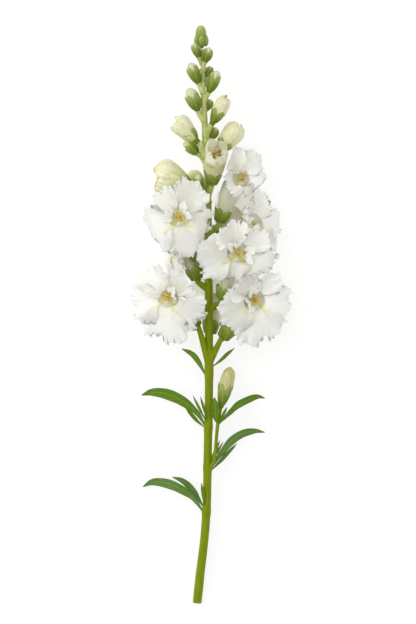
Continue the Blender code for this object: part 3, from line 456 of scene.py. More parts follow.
def add_grid(bm, points, closed=False, **values):
    """Adds a sheet on points[row, column] to bm. Each named value is a number or an array that
    spreads over the sheet, and is kept on the vertices for the materials."""
    values = {n: np.broadcast_to(v, points.shape[:2]) for n, v in values.items()}
    if closed:
        points = np.concatenate([points, points[:, :1]], axis=1)
        values = {n: np.concatenate([v, v[:, :1]], axis=1) for n, v in values.items()}
    rows, columns = points.shape[:2]
    layers = {n: bm.verts.layers.float.get(n) or bm.verts.layers.float.new(n) for n in values}
    made = bmesh.ops.create_grid(bm, x_segments=columns - 1, y_segments=rows - 1, size=1.0)
    for vert in made["verts"]:
        column = round((vert.co.x + 1) / 2 * (columns - 1))
        row = round((vert.co.y + 1) / 2 * (rows - 1))
        vert.co = Vector(points[row, column] * MM)
        for name, value in values.items():
            vert[layers[name]] = float(value[row, column])


def as_object(name, bm, material):
    """The bmesh as an object at the origin, with its one material."""
    mesh = bpy.data.meshes.new(name)
    bm.to_mesh(mesh)
    bm.free()
    mesh.materials.append(material)
    made = bpy.data.objects.new(name, mesh)
    bpy.context.scene.collection.objects.link(made)
    return made


def finished(name, bm, material, slot, replaced=(), thickness=None, merge=1e-5):
    """The bmesh as a smooth object in the part's frame, riding on its one body."""
    bmesh.ops.remove_doubles(bm, verts=bm.verts, dist=merge)
    bmesh.ops.recalc_face_normals(bm, faces=bm.faces)
    for face in bm.faces:
        face.smooth = True
    made = as_object(name, bm, material)
    if thickness:
        wall = made.modifiers.new("thickness", "SOLIDIFY")
        wall.thickness = thickness
        wall.offset = 0.0
        wall.use_even_offset = False
    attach(made, "root")
    if replaced:
        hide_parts(*replaced)


def tube_points(path, radii, sides, upward=(0, 0, 1)):
    """Rings along path, drawn together to a point at both ends."""
    up, side = frame_along(path, upward)[1:]
    radii = np.asarray(radii, dtype=float).reshape(len(path), -1)
    rings = path[:, None] + radii[..., None] * ring(turns_round(sides)[None], up[:, None],
                                                    side[:, None])
    start, end = (np.repeat(path[k:k + 1], sides, 0)[None] for k in (0, len(path) - 1))
    return np.concatenate([start, rings, end])


def solid(tint, shade=1.0):
    """The four values of a colour, made darker or lighter. A socket is passed on."""
    if isinstance(tint, bpy.types.NodeSocket):
        return tint
    return (*(c * shade for c in tint[:3]), 1.0)


class Finish:
    """A material while its nodes are put together."""

    def __init__(self, name, values):
        self.material = bpy.data.materials.new(name)
        self.material.use_nodes = True
        self.tree = self.material.node_tree
        self.shader = self.tree.nodes["Principled BSDF"]
        self.feed(self.shader, values)

    def feed(self, node, values):
        for socket, value in values.items():
            if isinstance(value, bpy.types.NodeSocket):
                self.tree.links.new(value, node.inputs[socket])
            else:
                node.inputs[socket].default_value = value

    def node(self, kind, values, out=0, **settings):
        made = self.tree.nodes.new(f"ShaderNode{kind}")
        for name, value in settings.items():
            setattr(made, name, value)
        self.feed(made, values)
        return made.outputs[out]

    def calc(self, operation, *values):
        return self.node("Math", dict(enumerate(values)), operation=operation)

    def mix(self, factor, first, second, most=1.0):
        """The second colour over the first, by the factor and at most by most."""
        if most != 1.0:
            factor = self.calc("MULTIPLY", factor, most)
        return self.node("Mix", {0: factor, 6: solid(first), 7: solid(second)}, out=2,
                         data_type="RGBA")

    def ranged(self, *values):
        """A value eased from its low and high to 0 and 1, or to two other numbers."""
        return self.node("MapRange", dict(enumerate(values)), interpolation_type="SMOOTHSTEP")

    def carried(self, name):
        return self.node("Attribute", {}, out="Fac", attribute_name=name)

    def noise(self, scale, stretch=(1.0, 1.0, 1.0), detail=3.0):
        place = self.node("TexCoord", {}, out="Object")
        mapped = self.node("Mapping", {"Vector": place, "Scale": stretch})
        return self.node("TexNoise", {"Vector": mapped, "Scale": scale, "Detail": detail})

    def ribs(self, across_value, count):
        """A sine over a carried value, and the same where it is above zero."""
        sine = self.calc("SINE", self.calc("MULTIPLY", across_value, count))
        return sine, self.calc("MAXIMUM", sine, 0.0)

    def done(self, tint, height=None, strength=0.0, distance=0.0003):
        self.feed(self.shader, {"Base Color": tint})
        if height:
            bump = self.node("Bump", {"Height": height, "Strength": strength,
                                      "Distance": distance})
            self.feed(self.shader, {"Normal": bump})
        return self.material


def plant(name, roughness, subsurface=0.0, sheen=0.0, gloss=0.3):
    return Finish(name, {"Roughness": roughness, "Specular IOR Level": gloss,
                         "Subsurface Weight": subsurface, "Subsurface Radius": (1.0, 1.0, 1.0),
                         "Subsurface Scale": 0.002, "Sheen Weight": sheen, "Sheen Roughness": 0.4})


def petal_material(petals):
    """White lobes, cream tube, yellow patch at the mouth, with fine veins that run outwards. The
    cream where the value along dips in the lobes' folds and clefts is painted shade.
    """
    skin = plant("ruffled_petal", roughness=0.55, subsurface=0.85, sheen=0.05)
    along = skin.carried("along")
    limb = skin.mix(skin.ranged(along, 0.95, 1.35), petals.cream, petals.white)
    base = skin.mix(skin.ranged(along, 0.05, 0.45), petals.foot, limb)
    mottled = skin.mix(skin.ranged(skin.noise(70.0), 0.38, 0.65), base, petals.cream, most=0.20)
    veins, raised = skin.ribs(skin.carried("width"), 60.0)
    veined = skin.mix(raised, mottled, petals.cream, most=0.05)
    yellow = skin.mix(skin.carried("patch"), veined, petals.throat)
    height = skin.calc("ADD", skin.calc("MULTIPLY", veins, 0.12), skin.noise(500.0))
    return skin.done(yellow, height, 0.25, 0.0004)


def stem_material(greens):
    """Streaked green that pales from the cut end up to the buds."""
    skin = plant("stem_skin", roughness=0.45, subsurface=0.15, gloss=0.12)
    base = skin.mix(skin.ranged(skin.carried("along"), 0.02, 0.125), greens.stem_low,
                    greens.stem_high)
    streaks = skin.ranged(skin.noise(420.0, (1.0, 0.25, 1.0)), 0.3, 0.7)
    streaked = skin.mix(streaks, base, solid(greens.stem_low, 0.62), most=0.45)
    return skin.done(streaked, skin.noise(900.0), 0.35)


def sepal_material(name, greens, pale):
    """Olive sepals with fine ribs, paler along their rims and towards their tips."""
    skin = plant(name, roughness=0.55, subsurface=0.15, sheen=0.03, gloss=0.2)
    along, width = skin.carried("along"), skin.carried("width")
    base = skin.mix(skin.ranged(along, 0.1, 0.8), greens.sepal, greens.sepal_top)
    tone = skin.ranged(skin.noise(300.0, (1.0, 0.4, 1.0)), 0.3, 0.7)
    toned = skin.mix(tone, base, solid(greens.sepal, 0.7), most=0.5)
    ribs, raised = skin.ribs(width, 17.0)
    ribbed = skin.mix(raised, toned, solid(greens.sepal_top, 1.2), most=0.15)
    rim = skin.calc("MAXIMUM", skin.ranged(skin.calc("ABSOLUTE", width), 0.55, 1.1),
                    skin.ranged(along, 0.45, 1.05))
    rimmed = skin.mix(rim, ribbed, greens.sepal_rim, most=pale)
    height = skin.calc("ADD", skin.noise(800.0), skin.calc("MULTIPLY", ribs, 0.8))
    return skin.done(rimmed, height, 0.4)


def leaf_material(greens):
    """Satin green with a paler midrib, side veins and bluer low leaves."""
    skin = plant("satin_leaf", roughness=0.42, subsurface=0.12, gloss=0.1)
    base = skin.mix(skin.carried("low"), greens.leaf, greens.leaf_low)
    tone = skin.ranged(skin.noise(120.0), 0.35, 0.65)
    toned = skin.mix(tone, base, solid(greens.leaf, 0.7), most=0.4)
    off = skin.calc("ABSOLUTE", skin.carried("width"))
    slant = skin.calc("SUBTRACT", skin.calc("MULTIPLY", skin.carried("along"), 58.0),
                      skin.calc("MULTIPLY", off, 9.0))
    side_vein = skin.calc("POWER", skin.calc("MAXIMUM", skin.calc("SINE", slant), 0.0), 4.0)
    veined = skin.mix(side_vein, toned, greens.midrib, most=0.18)
    ribbed = skin.mix(skin.ranged(off, 0.04, 0.16, 1.0, 0.0), veined, greens.midrib, most=0.4)
    height = skin.calc("SUBTRACT", skin.noise(700.0, detail=2.0),
                       skin.calc("MULTIPLY", side_vein, 0.8))
    return skin.done(ribbed, height, 0.4)


def bud_material(name, foot, tip, low, high):
    """Petals of a bud: green at the sides, pale at the tip and along the lips."""
    skin = plant(name, roughness=0.5, subsurface=0.3, sheen=0.08)
    base = skin.mix(skin.ranged(skin.carried("along"), low, high), foot, tip)
    mottled = skin.mix(skin.ranged(skin.noise(260.0), 0.35, 0.7), base, foot, most=0.35)
    folds, raised = skin.ribs(skin.carried("width"), 26.0)
    veined = skin.mix(raised, mottled, solid(foot, 0.9), most=0.12)
    height = skin.calc("ADD", skin.calc("MULTIPLY", folds, 0.4), skin.noise(600.0))
    return skin.done(veined, height, 0.3)


def pollen_material(petals):
    """Powdery anthers, browner where they have opened."""
    skin = plant("pollen", roughness=0.85)
    grain = skin.ranged(skin.noise(1500.0), 0.4, 0.6)
    opened = skin.ranged(skin.noise(420.0), 0.50, 0.62)
    base = skin.mix(opened, petals.anther, solid(petals.anther, 0.28))
    grained = skin.mix(grain, base, (0.9, 0.62, 0.12), most=0.3)
    stalked = skin.mix(skin.carried("stalk"), grained, petals.filament)
    return skin.done(stalked, grain, 0.5, 0.0002)


def hair_material(greens):
    skin = plant("fine_hair", roughness=0.4, subsurface=0.2)
    return skin.done(skin.mix(skin.noise(60.0), greens.hair, greens.stem_high))


def floor_material(stage):
    """Pale table top that gives off a little light, so that shadows stay faint."""
    top = Finish("pale_table", {"Roughness": 0.9, "Specular IOR Level": 0.0,
                                "Emission Color": (1.0, 1.0, 1.0, 1.0),
                                "Emission Strength": stage.floor_glow})
    tone = top.ranged(top.noise(6.0), 0.3, 0.7)
    return top.done(top.mix(tone, stage.floor, solid(stage.floor, 0.99)))


def floret_axis(f, steps):
    """The middle of a floret's tube from calyx foot to mouth, straight where the sepals hold it,
    and its length."""
    foot, mouth, face = np.array(f["foot"]), np.array(f["mouth"]), unit(f["face"])
    lead = unit(unit(mouth - foot) - 0.25 * face)
    neck = foot + lead * CALYX_LENGTH * 0.8
    whole = np.vstack([foot, hermite(neck, mouth, lead, face, 24)])
    at = distances(whole)
    even = np.linspace(0, at[-1], steps)
    return np.column_stack([np.interp(even, at, whole[:, k]) for k in range(3)]), at[-1]


def floret_size(f):
    """Size of a floret's tube against a full-size one."""
    return min(1.0, 0.55 + f["reach"] / 50)


def floret_frame(f):
    """Unit vectors of a floret's facing, of its upper side and to its right."""
    face = unit(f["face"])
    up = across((0, 1, 0.0) if abs(face[1]) < 0.9 else (0, 0, 1), face)
    return face, up, np.cross(face, up)


def tube_radius(at, size, girth=1.0):
    wide = 1 + (girth - 1) * np.interp(at, [0.1, 0.5], [0, 1])
    return size * wide * np.interp(at, TUBE_STOPS, TUBE_RADII)


def throat_radius(f):
    return MOUTH_RADIUS * floret_size(f) * f.get("girth", 1.0)


def limb_surface(f, lobe, angle, t, edge_share):
    """Points of the spread limb at angles round the mouth, with t from 0 there to 1 at the edge,
    and the way out from the middle at each."""
    face, up, side = floret_frame(f)
    throat, cup = throat_radius(f), f["cup"]
    edge = f["reach"] * np.array(f["lobes"])[np.array(LOBE_ORDER)[lobe]] * edge_share
    upper = np.cos(angle)
    forward = f["reach"] * (0.40 + 0.08 * upper + 0.75 * cup) * t
    back = f["reach"] * (0.42 - 0.16 * upper - 0.10 * cup) * t * t
    radius = throat * (1 - t) + edge * t
    if cup > BARREL_CUP:
        radius = throat + (edge - throat) * t * (1.05 - 0.45 * cup)
    out = ring(angle + math.radians(f["turn"]), up, side)
    return np.array(f["mouth"]) + radius[..., None] * out + (forward - back)[..., None] * face, out


def tube_ring(path, ups, sides, at, radius, turns):
    """A ring round the tube's middle at a share of its length."""
    k = at * (len(path) - 1)
    i = min(int(k), len(path) - 2)
    centre = path[i] + (path[i + 1] - path[i]) * (k - i)
    return centre + np.reshape(radius, (-1, 1)) * ring(turns, ups[i], sides[i])


def solid_corolla(f, columns_per_lobe, limb_rows):
    """Middle surface of the solid corolla, as points[row, column]."""
    size, girth = floret_size(f), f.get("girth", 1.0)
    path = floret_axis(f, 13)[0]
    face, up, _ = floret_frame(f)
    ups, sides = frame_along(path, up)[1:]
    turns = turns_round(LOBES * columns_per_lobe)
    rows = []
    for at in SOLID_TUBE_SHARES:
        radius = tube_radius(at, size, girth) if rows else 0.0
        rows.append(tube_ring(path, ups, sides, at, radius, turns))
    lobe = (turns / LOBE_TURN + 1e-9).astype(int) % LOBES
    within = (turns / LOBE_TURN) % 1.0
    notch = 1 - np.abs(2 * within - 1) ** 3
    for t in np.linspace(0, 1, limb_rows + 1):
        edge = limb_surface(f, lobe, turns, t, SOLID_NOTCH + (1 - SOLID_NOTCH) * notch)[0]
        lift = SOLID_RUFFLE * f["reach"] * t * t * np.sin(4 * math.pi * within + lobe * 1.9)
        rows.append(edge + lift[:, None] * face)
    return np.array(rows)


def parting_plane(a, b, weight_a, weight_b):
    """Normal and offset of the plane that best keeps points a behind it and points b before it."""
    middle = (a.mean(0) + b.mean(0)) / 2
    a, b = a - middle, b - middle
    normal = unit(b.mean(0) - a.mean(0))
    offset = 0.0
    for step in range(PLANE_ROUNDS):
        rate = 0.6 / (1 + step / 30)
        over_a = np.clip(a @ normal - offset + FACE_MARGIN, 0, None) * weight_a
        over_b = np.clip(offset - b @ normal + FACE_MARGIN, 0, None) * weight_b
        total = over_a.sum() + over_b.sum()
        if total < 1e-6:
            break
        pull = (over_b[:, None] * b).sum(0) - (over_a[:, None] * a).sum(0)
        normal = unit(normal + rate * 0.3 * pull / (total * 20))
        offset += rate * (over_a.sum() / weight_a.sum() - over_b.sum() / weight_b.sum()) * 4
    return normal, offset + float(normal @ middle)


def capsule_push(points, start, end, radius_start, radius_end):
    """Moves points out of the round-ended rod from start to end."""
    line = end - start
    at = np.clip(((points - start) @ line) / max(line @ line, 1e-9), 0, 1)
    away = points - (start + at[..., None] * line)
    distance = np.linalg.norm(away, axis=-1)
    short = np.clip(radius_start + (radius_end - radius_start) * at - distance, 0, None)
    return points + away / np.maximum(distance, 1e-6)[..., None] * short[..., None]


def rods_in_the_way():
    """Round-ended rods that stand for the stem, the tubes and the buds, with their owners."""
    out = []
    axis = smooth_path(STEM, 1)
    for a, b in zip(axis[:-1], axis[1:]):
        out.append((a[:3], b[:3], a[3] + STEM_MARGIN, b[3] + STEM_MARGIN, None))
    stalk = STALK_HALF + STEM_MARGIN
    for bud in BUDS.values():
        foot, tip = np.array(bud["foot"]), np.array(bud["tip"])
        along = unit(tip - foot)
        radius = bud["half"] + GAP + SOLID_WALL + 1.0
        out.append((foot + along * bud["half"] * 0.5, tip - along * bud["half"] * 0.8,
                    radius * 0.9, radius, None))
        out.append((stem_at(foot[1] - 5)[:3], foot, stalk, stalk + 0.6, None))
    for name, f in FLORETS.items():
        path = floret_axis(f, 9)[0]
        along = unit(path[1] - path[0])
        out.append((path[0], path[0] + along * CALYX_LENGTH * 0.9, 6.0, 6.6, name))
        out.append((stem_at(f["foot"][1] - 6)[:3], path[0], stalk, stalk, name))
    return out


def kept_clear(points, planes, rods, owner):
    """Points moved behind the parting planes, out of the rods and above the table."""
    for _ in range(4):
        for normal, offset in planes:
            over = np.clip(points @ normal - offset, 0, None)
            points = points - over[..., None] * normal
        for start, end, radius_start, radius_end, rod_owner in rods:
            if rod_owner != owner:
                points = capsule_push(points, start, end, radius_start, radius_end)
        points[..., 2] = np.maximum(points[..., 2], SOLID_WALL / 2)
    return points


def bent_shifts():
    """How far each solid corolla is bent from its free shape, and the planes that part them."""
    rest = {n: solid_corolla(f, *((4, 3) if n in HIDDEN else (5, 4))) for n, f in FLORETS.items()}
    shapes = {n: p.copy() for n, p in rest.items()}
    names, rods, planes = list(rest), rods_in_the_way(), {n: [] for n in rest}

    def weights(points):
        limb = np.linspace(3.0, 0.4, len(points) - TUBE_ROWS)
        return np.repeat(np.r_[np.full(TUBE_ROWS, 6.0), limb], points.shape[1])

    for i, one in enumerate(names):
        for other in names[i + 1:]:
            a, b = shapes[one].reshape(-1, 3), shapes[other].reshape(-1, 3)
            if (a.min(0) > b.max(0) + 2).any() or (b.min(0) > a.max(0) + 2).any():
                continue
            normal, offset = parting_plane(a, b, weights(shapes[one]), weights(shapes[other]))
            planes[one].append((normal, offset - FACE_MARGIN))
            planes[other].append((-normal, -offset - FACE_MARGIN))
    for _ in range(CLEAR_ROUNDS):
        for n in names:
            moving = np.clip((np.arange(len(rest[n])) - 1) / 3, 0, 1)[:, None, None]
            shift = shapes[n] - rest[n]
            near = (np.roll(shift, 1, axis=1) + np.roll(shift, -1, axis=1)) / 2
            inner = np.concatenate([shift[:1], shift[:-1]], axis=0)
            shift = (0.6 * shift + 0.25 * near + 0.15 * inner) * moving
            shapes[n] = kept_clear(rest[n] + shift, planes[n], rods, n)
            shapes[n][:2] = rest[n][:2]
    return {n: shapes[n] - rest[n] for n in names}, planes


def shift_at(shift, row, angle):
    """The bend of the solid corolla read between its rows and columns."""
    row, angle = np.broadcast_arrays(row, angle)
    columns = shift.shape[1]
    row = np.clip(row, 0.0, len(shift) - 1.0)
    column = (angle / TURN * columns) % columns
    i = np.minimum(row.astype(int), len(shift) - 2)
    j = column.astype(int) % columns
    a, b = (row - i)[..., None], (column - column.astype(int))[..., None]
    right = (j + 1) % columns
    low = shift[i, j] * (1 - b) + shift[i, right] * b
    high = shift[i + 1, j] * (1 - b) + shift[i + 1, right] * b
    return low * (1 - a) + high * a


def kept_low(points):
    """Points moved up onto the table where they would dip below it."""
    points[..., 2] = np.maximum(points[..., 2], TABLE_GAP)
    return points


def surface_normals(points, towards):
    normal = np.cross(np.gradient(points, axis=0), np.gradient(points, axis=1))
    normal /= np.maximum(np.linalg.norm(normal, axis=-1), 1e-9)[..., None]
    return normal if (normal @ towards).mean() > 0 else -normal


def softly_behind(points, planes, free):
    """Bends what is free of a petal back behind the parting planes without a kink."""
    for normal, offset in planes:
        over = (points @ normal - offset) / PLANE_SOFTNESS
        push = PLANE_SOFTNESS * (np.logaddexp(0, over) - 0.7 * np.exp(-over * over))
        points = points - (np.maximum(push, 0) * free)[..., None] * normal
    return points


def fine_lobe(f, lobe, shift, random, ruffle, rows, columns):
    """One lobe with its share of the funnel-shaped throat: a broad fan with soft folds and a finely
    frilled edge, which laps over the next lobe. Returns its points, t from the mouth to the edge,
    and the values along, patch and width."""
    twist, face = f.get("twist", 0.0), unit(f["face"])
    f = dict(f, turn=f["turn"] + twist)
    barrel = f["cup"] > BARREL_CUP
    narrow, deep, floor = BARREL_THROAT if barrel else OPEN_THROAT
    starts = random.random(12)

    # level runs from -1.6 in the throat's depth over 0 at the mouth to 1 at the lobe's edge.
    u = np.linspace(-1, 1, columns + 1)[None, :]
    level = np.r_[np.linspace(-1.6, 0, 8, endpoint=False),
                  np.linspace(0, 1, rows + 1) ** 0.85][:, None]
    t, q, deeper = (np.clip(v, 0, 1) for v in (level, level + 1, -1 - level))
    angle = (lobe + 0.5 + 0.5 * u * (1 + LOBE_OVERLAP * ease(t, 0.0, 0.5))) * LOBE_TURN
    teeth = sum(depth * wave(u, count, start) for (depth, count), start in zip(TEETH, starts))
    edge = 0.65 + 0.37 * (1 - np.abs(u) ** 3.4)
    if "trim" in f:
        edge = edge * f["trim"][LOBE_ORDER[lobe]]
    edge = edge * (1 + teeth * ease(t, 0.7, 1.0) * (0.3 if barrel else 1))
    if barrel:
        t = t * (1.12 - 0.42 * np.abs(u) ** 1.6)

    points, out = limb_surface(f, lobe, angle, t, edge)
    inward = throat_radius(f) * (1 - narrow) * (1 - q ** 1.3)
    points = points - out * inward[..., None] - face * (deep * (1 - q) + floor * deeper)[..., None]
    points = points + shift_at(shift, TUBE_ROWS + t * (len(shift) - TUBE_ROWS - 1),
                               angle + math.radians(twist))
    if barrel:
        points = points - out * (4.6 * t ** 2.2)[..., None]

    # The lift of the surface: shingling, the lower lip's ridge, bowl, folds, curl and frill.
    reach = f["reach"] * (0.4 if barrel else 1.0)
    around = angle % TURN - math.pi
    tongue = np.exp(-(around / 0.62) ** 2) * np.exp(-((level + 0.30) / 0.42) ** 2)
    crests = 0.5 + 0.5 * wave(u, 1.3, starts[3])
    fold = (0.055 * wave(u + 0.10 * t, 0.85, starts[5])
            + 0.030 * crests * wave(u - 0.12 * t, 2.1, starts[6]))
    frill = ((0.6 + 0.4 * wave(u, 1.7, starts[10]))
             * (wave(u, 3.3, starts[7]) + 0.6 * wave(u, 6.7, starts[8])))
    curl = 0.16 * (starts[4] - 0.55) + 0.07 * wave(u, 0.6, starts[11])
    inside = 1 - u ** 4
    lift = (1.5 * u * ease(t, 0.05, 0.4) + 3.6 * tongue * (not barrel)
            + reach * (0.12 * (u * u - 0.4) * ease(t, 0.0, 0.7)
                       + inside * (fold * t ** 2 + curl * t ** 3)
                       + ruffle * frill * ease(t, 0.62, 1.0) ** 1.6))
    points = points + surface_normals(points, face) * lift[..., None]

    if barrel:
        along = 0.30 + 0.75 * t + 0.10 * wave(u, 3.0, starts[3])
        patch = ease(level, 0.5, -0.3) * (0.65 + 0.35 * wave(u, 1.5, 0.2))
    else:
        # Painted shade: the lobes turn towards cream in the valleys of the soft folds and along the
        # clefts between lobes near the mouth, where shade falls.
        crease_shade = (np.clip(-fold / 0.06, 0, 1) * ease(t, 0.1, 0.5) * ease(t, 1.3, 0.7)
                  + 0.8 * u ** 8 * (1 - t))
        limb = 1.26 + 0.74 * ease(t, 0.0, 0.4) - 0.55 * crease_shade
        along = np.where(level < 0, 1.02 + 0.24 * q, limb)
        strips = (0.20 * np.exp(-(around / 0.8) ** 2)
                  + 0.8 * np.exp(-((np.abs(around) - 0.74) / 0.30) ** 2))
        patch = np.maximum(strips * np.exp(-((level + 0.16) / 0.42) ** 2),
                           0.58 * ease(level, 0.02, -0.45))
    return points, t, along, patch, u


def tube_wall(f, shift):
    """Outer wall of a corolla's tube, from its closed foot to the underside of the lobes, with its
    values along and width."""
    size, girth, belly = floret_size(f), f.get("girth", 1.0), f.get("belly", 1.12)
    path = floret_axis(f, 60)[0]
    ups, sides = frame_along(path, floret_frame(f)[1])[1:]
    turns = turns_round(TUBE_SIDES)
    ribs = 0.035 * np.cos(LOBES * turns + math.pi) + 0.012 * np.cos(15 * turns)
    rows, along = [], []
    for at in TUBE_START + (1 - TUBE_START) * np.linspace(0, 1, TUBE_RINGS) ** 1.2:
        full = 1 + (belly - 1) * math.sin(math.pi * ease(at, 0.12, 1.15))
        radius = (tube_radius(at, size, girth) * full * (1 + ribs * ease(at, 0.1, 0.5))
                  * (len(rows) > 0))
        row_at = np.interp(at, (*SOLID_TUBE_SHARES, 1.0), range(TUBE_ROWS + 1))
        rows.append(tube_ring(path, ups, sides, at, radius, turns)
                    + shift_at(shift, row_at, turns))
        along.append(at if f["cup"] < BARREL_CUP else 0.06 + 0.20 * at)
    lobe = (turns / LOBE_TURN + 1e-9).astype(int) % LOBES
    rim = limb_surface(f, lobe, turns, 0.07, 0.95)[0] - 0.45 * unit(f["face"])
    rows.append(rim + shift_at(shift, TUBE_ROWS + 0.2, turns))
    return np.array(rows), np.array([*along, 1.2])[:, None], turns / LOBE_TURN


def inner_petal(f, at, size, random):
    """A small frilled petal that stands in the mouth and folds over it, with its t and u."""
    face, up, side = floret_frame(f)
    reach, starts = f["reach"], random.random(4)
    t, u = sheet(*INNER_PETAL)
    angle = (at + 0.62 * u * (0.6 + 0.5 * t)) * LOBE_TURN + math.radians(f["turn"])
    tall = size * reach * t * (1 - 0.38 * u ** 4 + 0.02 * wave(u, 3.7, starts[0]))
    curl = (0.060 * wave(u, 0.8, starts[1]) * t + 0.022 * wave(u, 2.3, starts[2]) * t ** 2
            + 0.012 * wave(u, 5.3, starts[3]) * t ** 4) * reach
    radius = (MOUTH_RADIUS * floret_size(f) * (0.90 - 0.9 * t * (1 - t)) + tall * 0.30 * t * t
              + curl)
    forward = tall * 0.85 - 1.2 * (1 - t) ** 3 + 0.4 * curl
    points = (np.array(f["mouth"]) + ring(angle, up, side) * radius[..., None]
              + face * forward[..., None])
    return points, t, u


class SNAPDRAGON_OT_petals(bpy.types.Operator):
    """Build the ruffled corollas of the open florets"""
    bl_idname = "snapdragon.petals"
    bl_label = "Petals"

    def execute(self, context):
        petals = context.scene.snapdragon_petals
        material = petal_material(petals)
        shifts, planes = bent_shifts()
        random = np.random.default_rng(11)
        for name, f in FLORETS.items():
            barrel = f["cup"] > BARREL_CUP
            bm = bmesh.new()
            points, along, width = tube_wall(f, shifts[name])
            add_grid(bm, kept_low(points), closed=True, along=along, width=width,
                     patch=0.25 if barrel else 0.0)
            for lobe in range(LOBES):
                points, t, along, patch, width = fine_lobe(
                    f, lobe, shifts[name], random, petals.ruffle,
                    *(HIDDEN_LOBE if name in HIDDEN else OPEN_LOBE))
                points = softly_behind(points, planes[name], ease(t, 0.1, 0.45))
                add_grid(bm, kept_low(points), along=along, patch=patch, width=width)
            for at, size in f.get("frills", ()):
                points, t, u = inner_petal(f, at, size, random)
                add_grid(bm, points, along=(0.45 if barrel else 1.15) + 0.7 * t,
                         patch=0.5 * (1 - t) ** 2, width=u)
            finished(f"petals_{name}", bm, material, "petal_white", [f"floret_{name}_petals"],
                     petals.thickness)
        return {"FINISHED"}


def sepal_points(foot, along, up, tall, radius_at, centre, flare, lap):
    """One broad, blunt sepal with its middle at the angle centre round the axis, and its s and
    u."""
    side = np.cross(along, up)
    s, u = sheet(*SEPAL)
    turn = centre + u * SEPAL_SPREAD * (1 - s ** 3.4) ** 0.62 * math.pi / SEPALS
    distance = tall * s * (1 - 0.05 * u * u)
    radius = np.array([[radius_at(max(d, CUP_FLOOR)) for d in row] for row in distance])
    radius = radius * np.clip(0.35 + s / 0.11, 0, 1) + flare * s ** 3 + lap * u
    radius = radius + 0.14 * np.exp(-(u / 0.13) ** 2) * (1 - s) + 0.10 * np.abs(u) ** 4
    points = foot + along * distance[..., None] + radius[..., None] * ring(turn, up, side)
    return points, s, u


def bud_radius(at, bud):
    """Radius of a bud's closed petals at a share of their length."""
    return bud["half"] * smooth_curve(at ** (1 + bud.get("blunt", 0.0)), BUD_STOPS, BUD_WIDTHS)


def bud_frame(bud):
    """Foot, unit vectors along a bud, above and beside it, and its length."""
    foot, tip = np.array(bud["foot"]), np.array(bud["tip"])
    return foot, *axis_frame(foot, tip), np.linalg.norm(tip - foot)


def bud_core(bud):
    """The closed inner body of a bud, just inside its petals, with its value along."""
    foot, along, up, _, tall = bud_frame(bud)
    s = (1 - np.cos(np.linspace(0, math.pi, BUD_RINGS))) / 2 * (1 - 0.16 * bud.get("lips", 0.0))
    path = foot + along * (BUD_START + (tall - BUD_START) * s)[:, None]
    radii = 0.95 * bud_radius(s, bud)
    radii[-1] = 0.0
    return tube_points(path, radii, BUD_SIDES, up), np.r_[0, s, 1][:, None]


def bud_petal(bud, lobe, random):
    """One of five petals wrapped round a bud. Two form the hood and three the lip under it, and
    both end in a frill where the lips have parted."""
    foot, along, up, side, tall = bud_frame(bud)
    lips, half, hood = bud.get("lips", 0.0), bud["half"], lobe < 2
    starts = random.random(4)
    s, u = sheet(*(LARGE_BUD_PETAL if half > SMALL_BUD else SMALL_BUD_PETAL), start=0.12)
    top = 1 + 0.03 * lips if hood else 1 - 0.13 * lips
    top = top * (1 + 0.020 * lips * wave(u, 2.6, starts[0]))
    broad = math.radians(52) * (1 - 0.75 * s ** 7 * (1 - lips)) * (1 + 0.10 * lips * s)
    at = s * top * (1 - 0.06 * u ** 4)
    shut = bud_radius(np.minimum(at, 1.0), bud)
    parted = bud_radius(np.minimum(at, 0.86), dict(bud, blunt=0.0))
    parted = parted * (1 - 0.35 * ease(at, 0.80, 0.97))
    loose = lips * (0.30 if hood else 0.85)
    swell = 0.10 * (ease(at, 0.3, 0.8) if hood else ease(at, 0.55, 0.95))
    frill = 0.07 * wave(u, 2.7, starts[1]) + 0.04 * wave(u, 6.1, starts[2])
    flute = 0.025 * half * wave(u, 1.6, starts[3]) * ease(s, 0.2, 0.7)
    radius = (shut * (1 - loose) + parted * loose + half * lips * swell
              + lips * half * ease(s, 0.80, 1.0) * frill + flute
              + (0.12 + 0.02 * lobe) + 0.20 * u * ease(s, 0.1, 0.5))
    turn = math.radians(BUD_PETALS[lobe] + bud.get("roll", 0.0)) + u * broad
    reach = BUD_START + (tall - BUD_START) * at
    points = (foot + along * reach[..., None]
              + np.maximum(radius, 0.05)[..., None] * ring(turn, up, side))
    if not hood:
        points = points - side * (0.24 * half * lips * ease(at, 0.5, 1.0))[..., None]
    return points, at, u


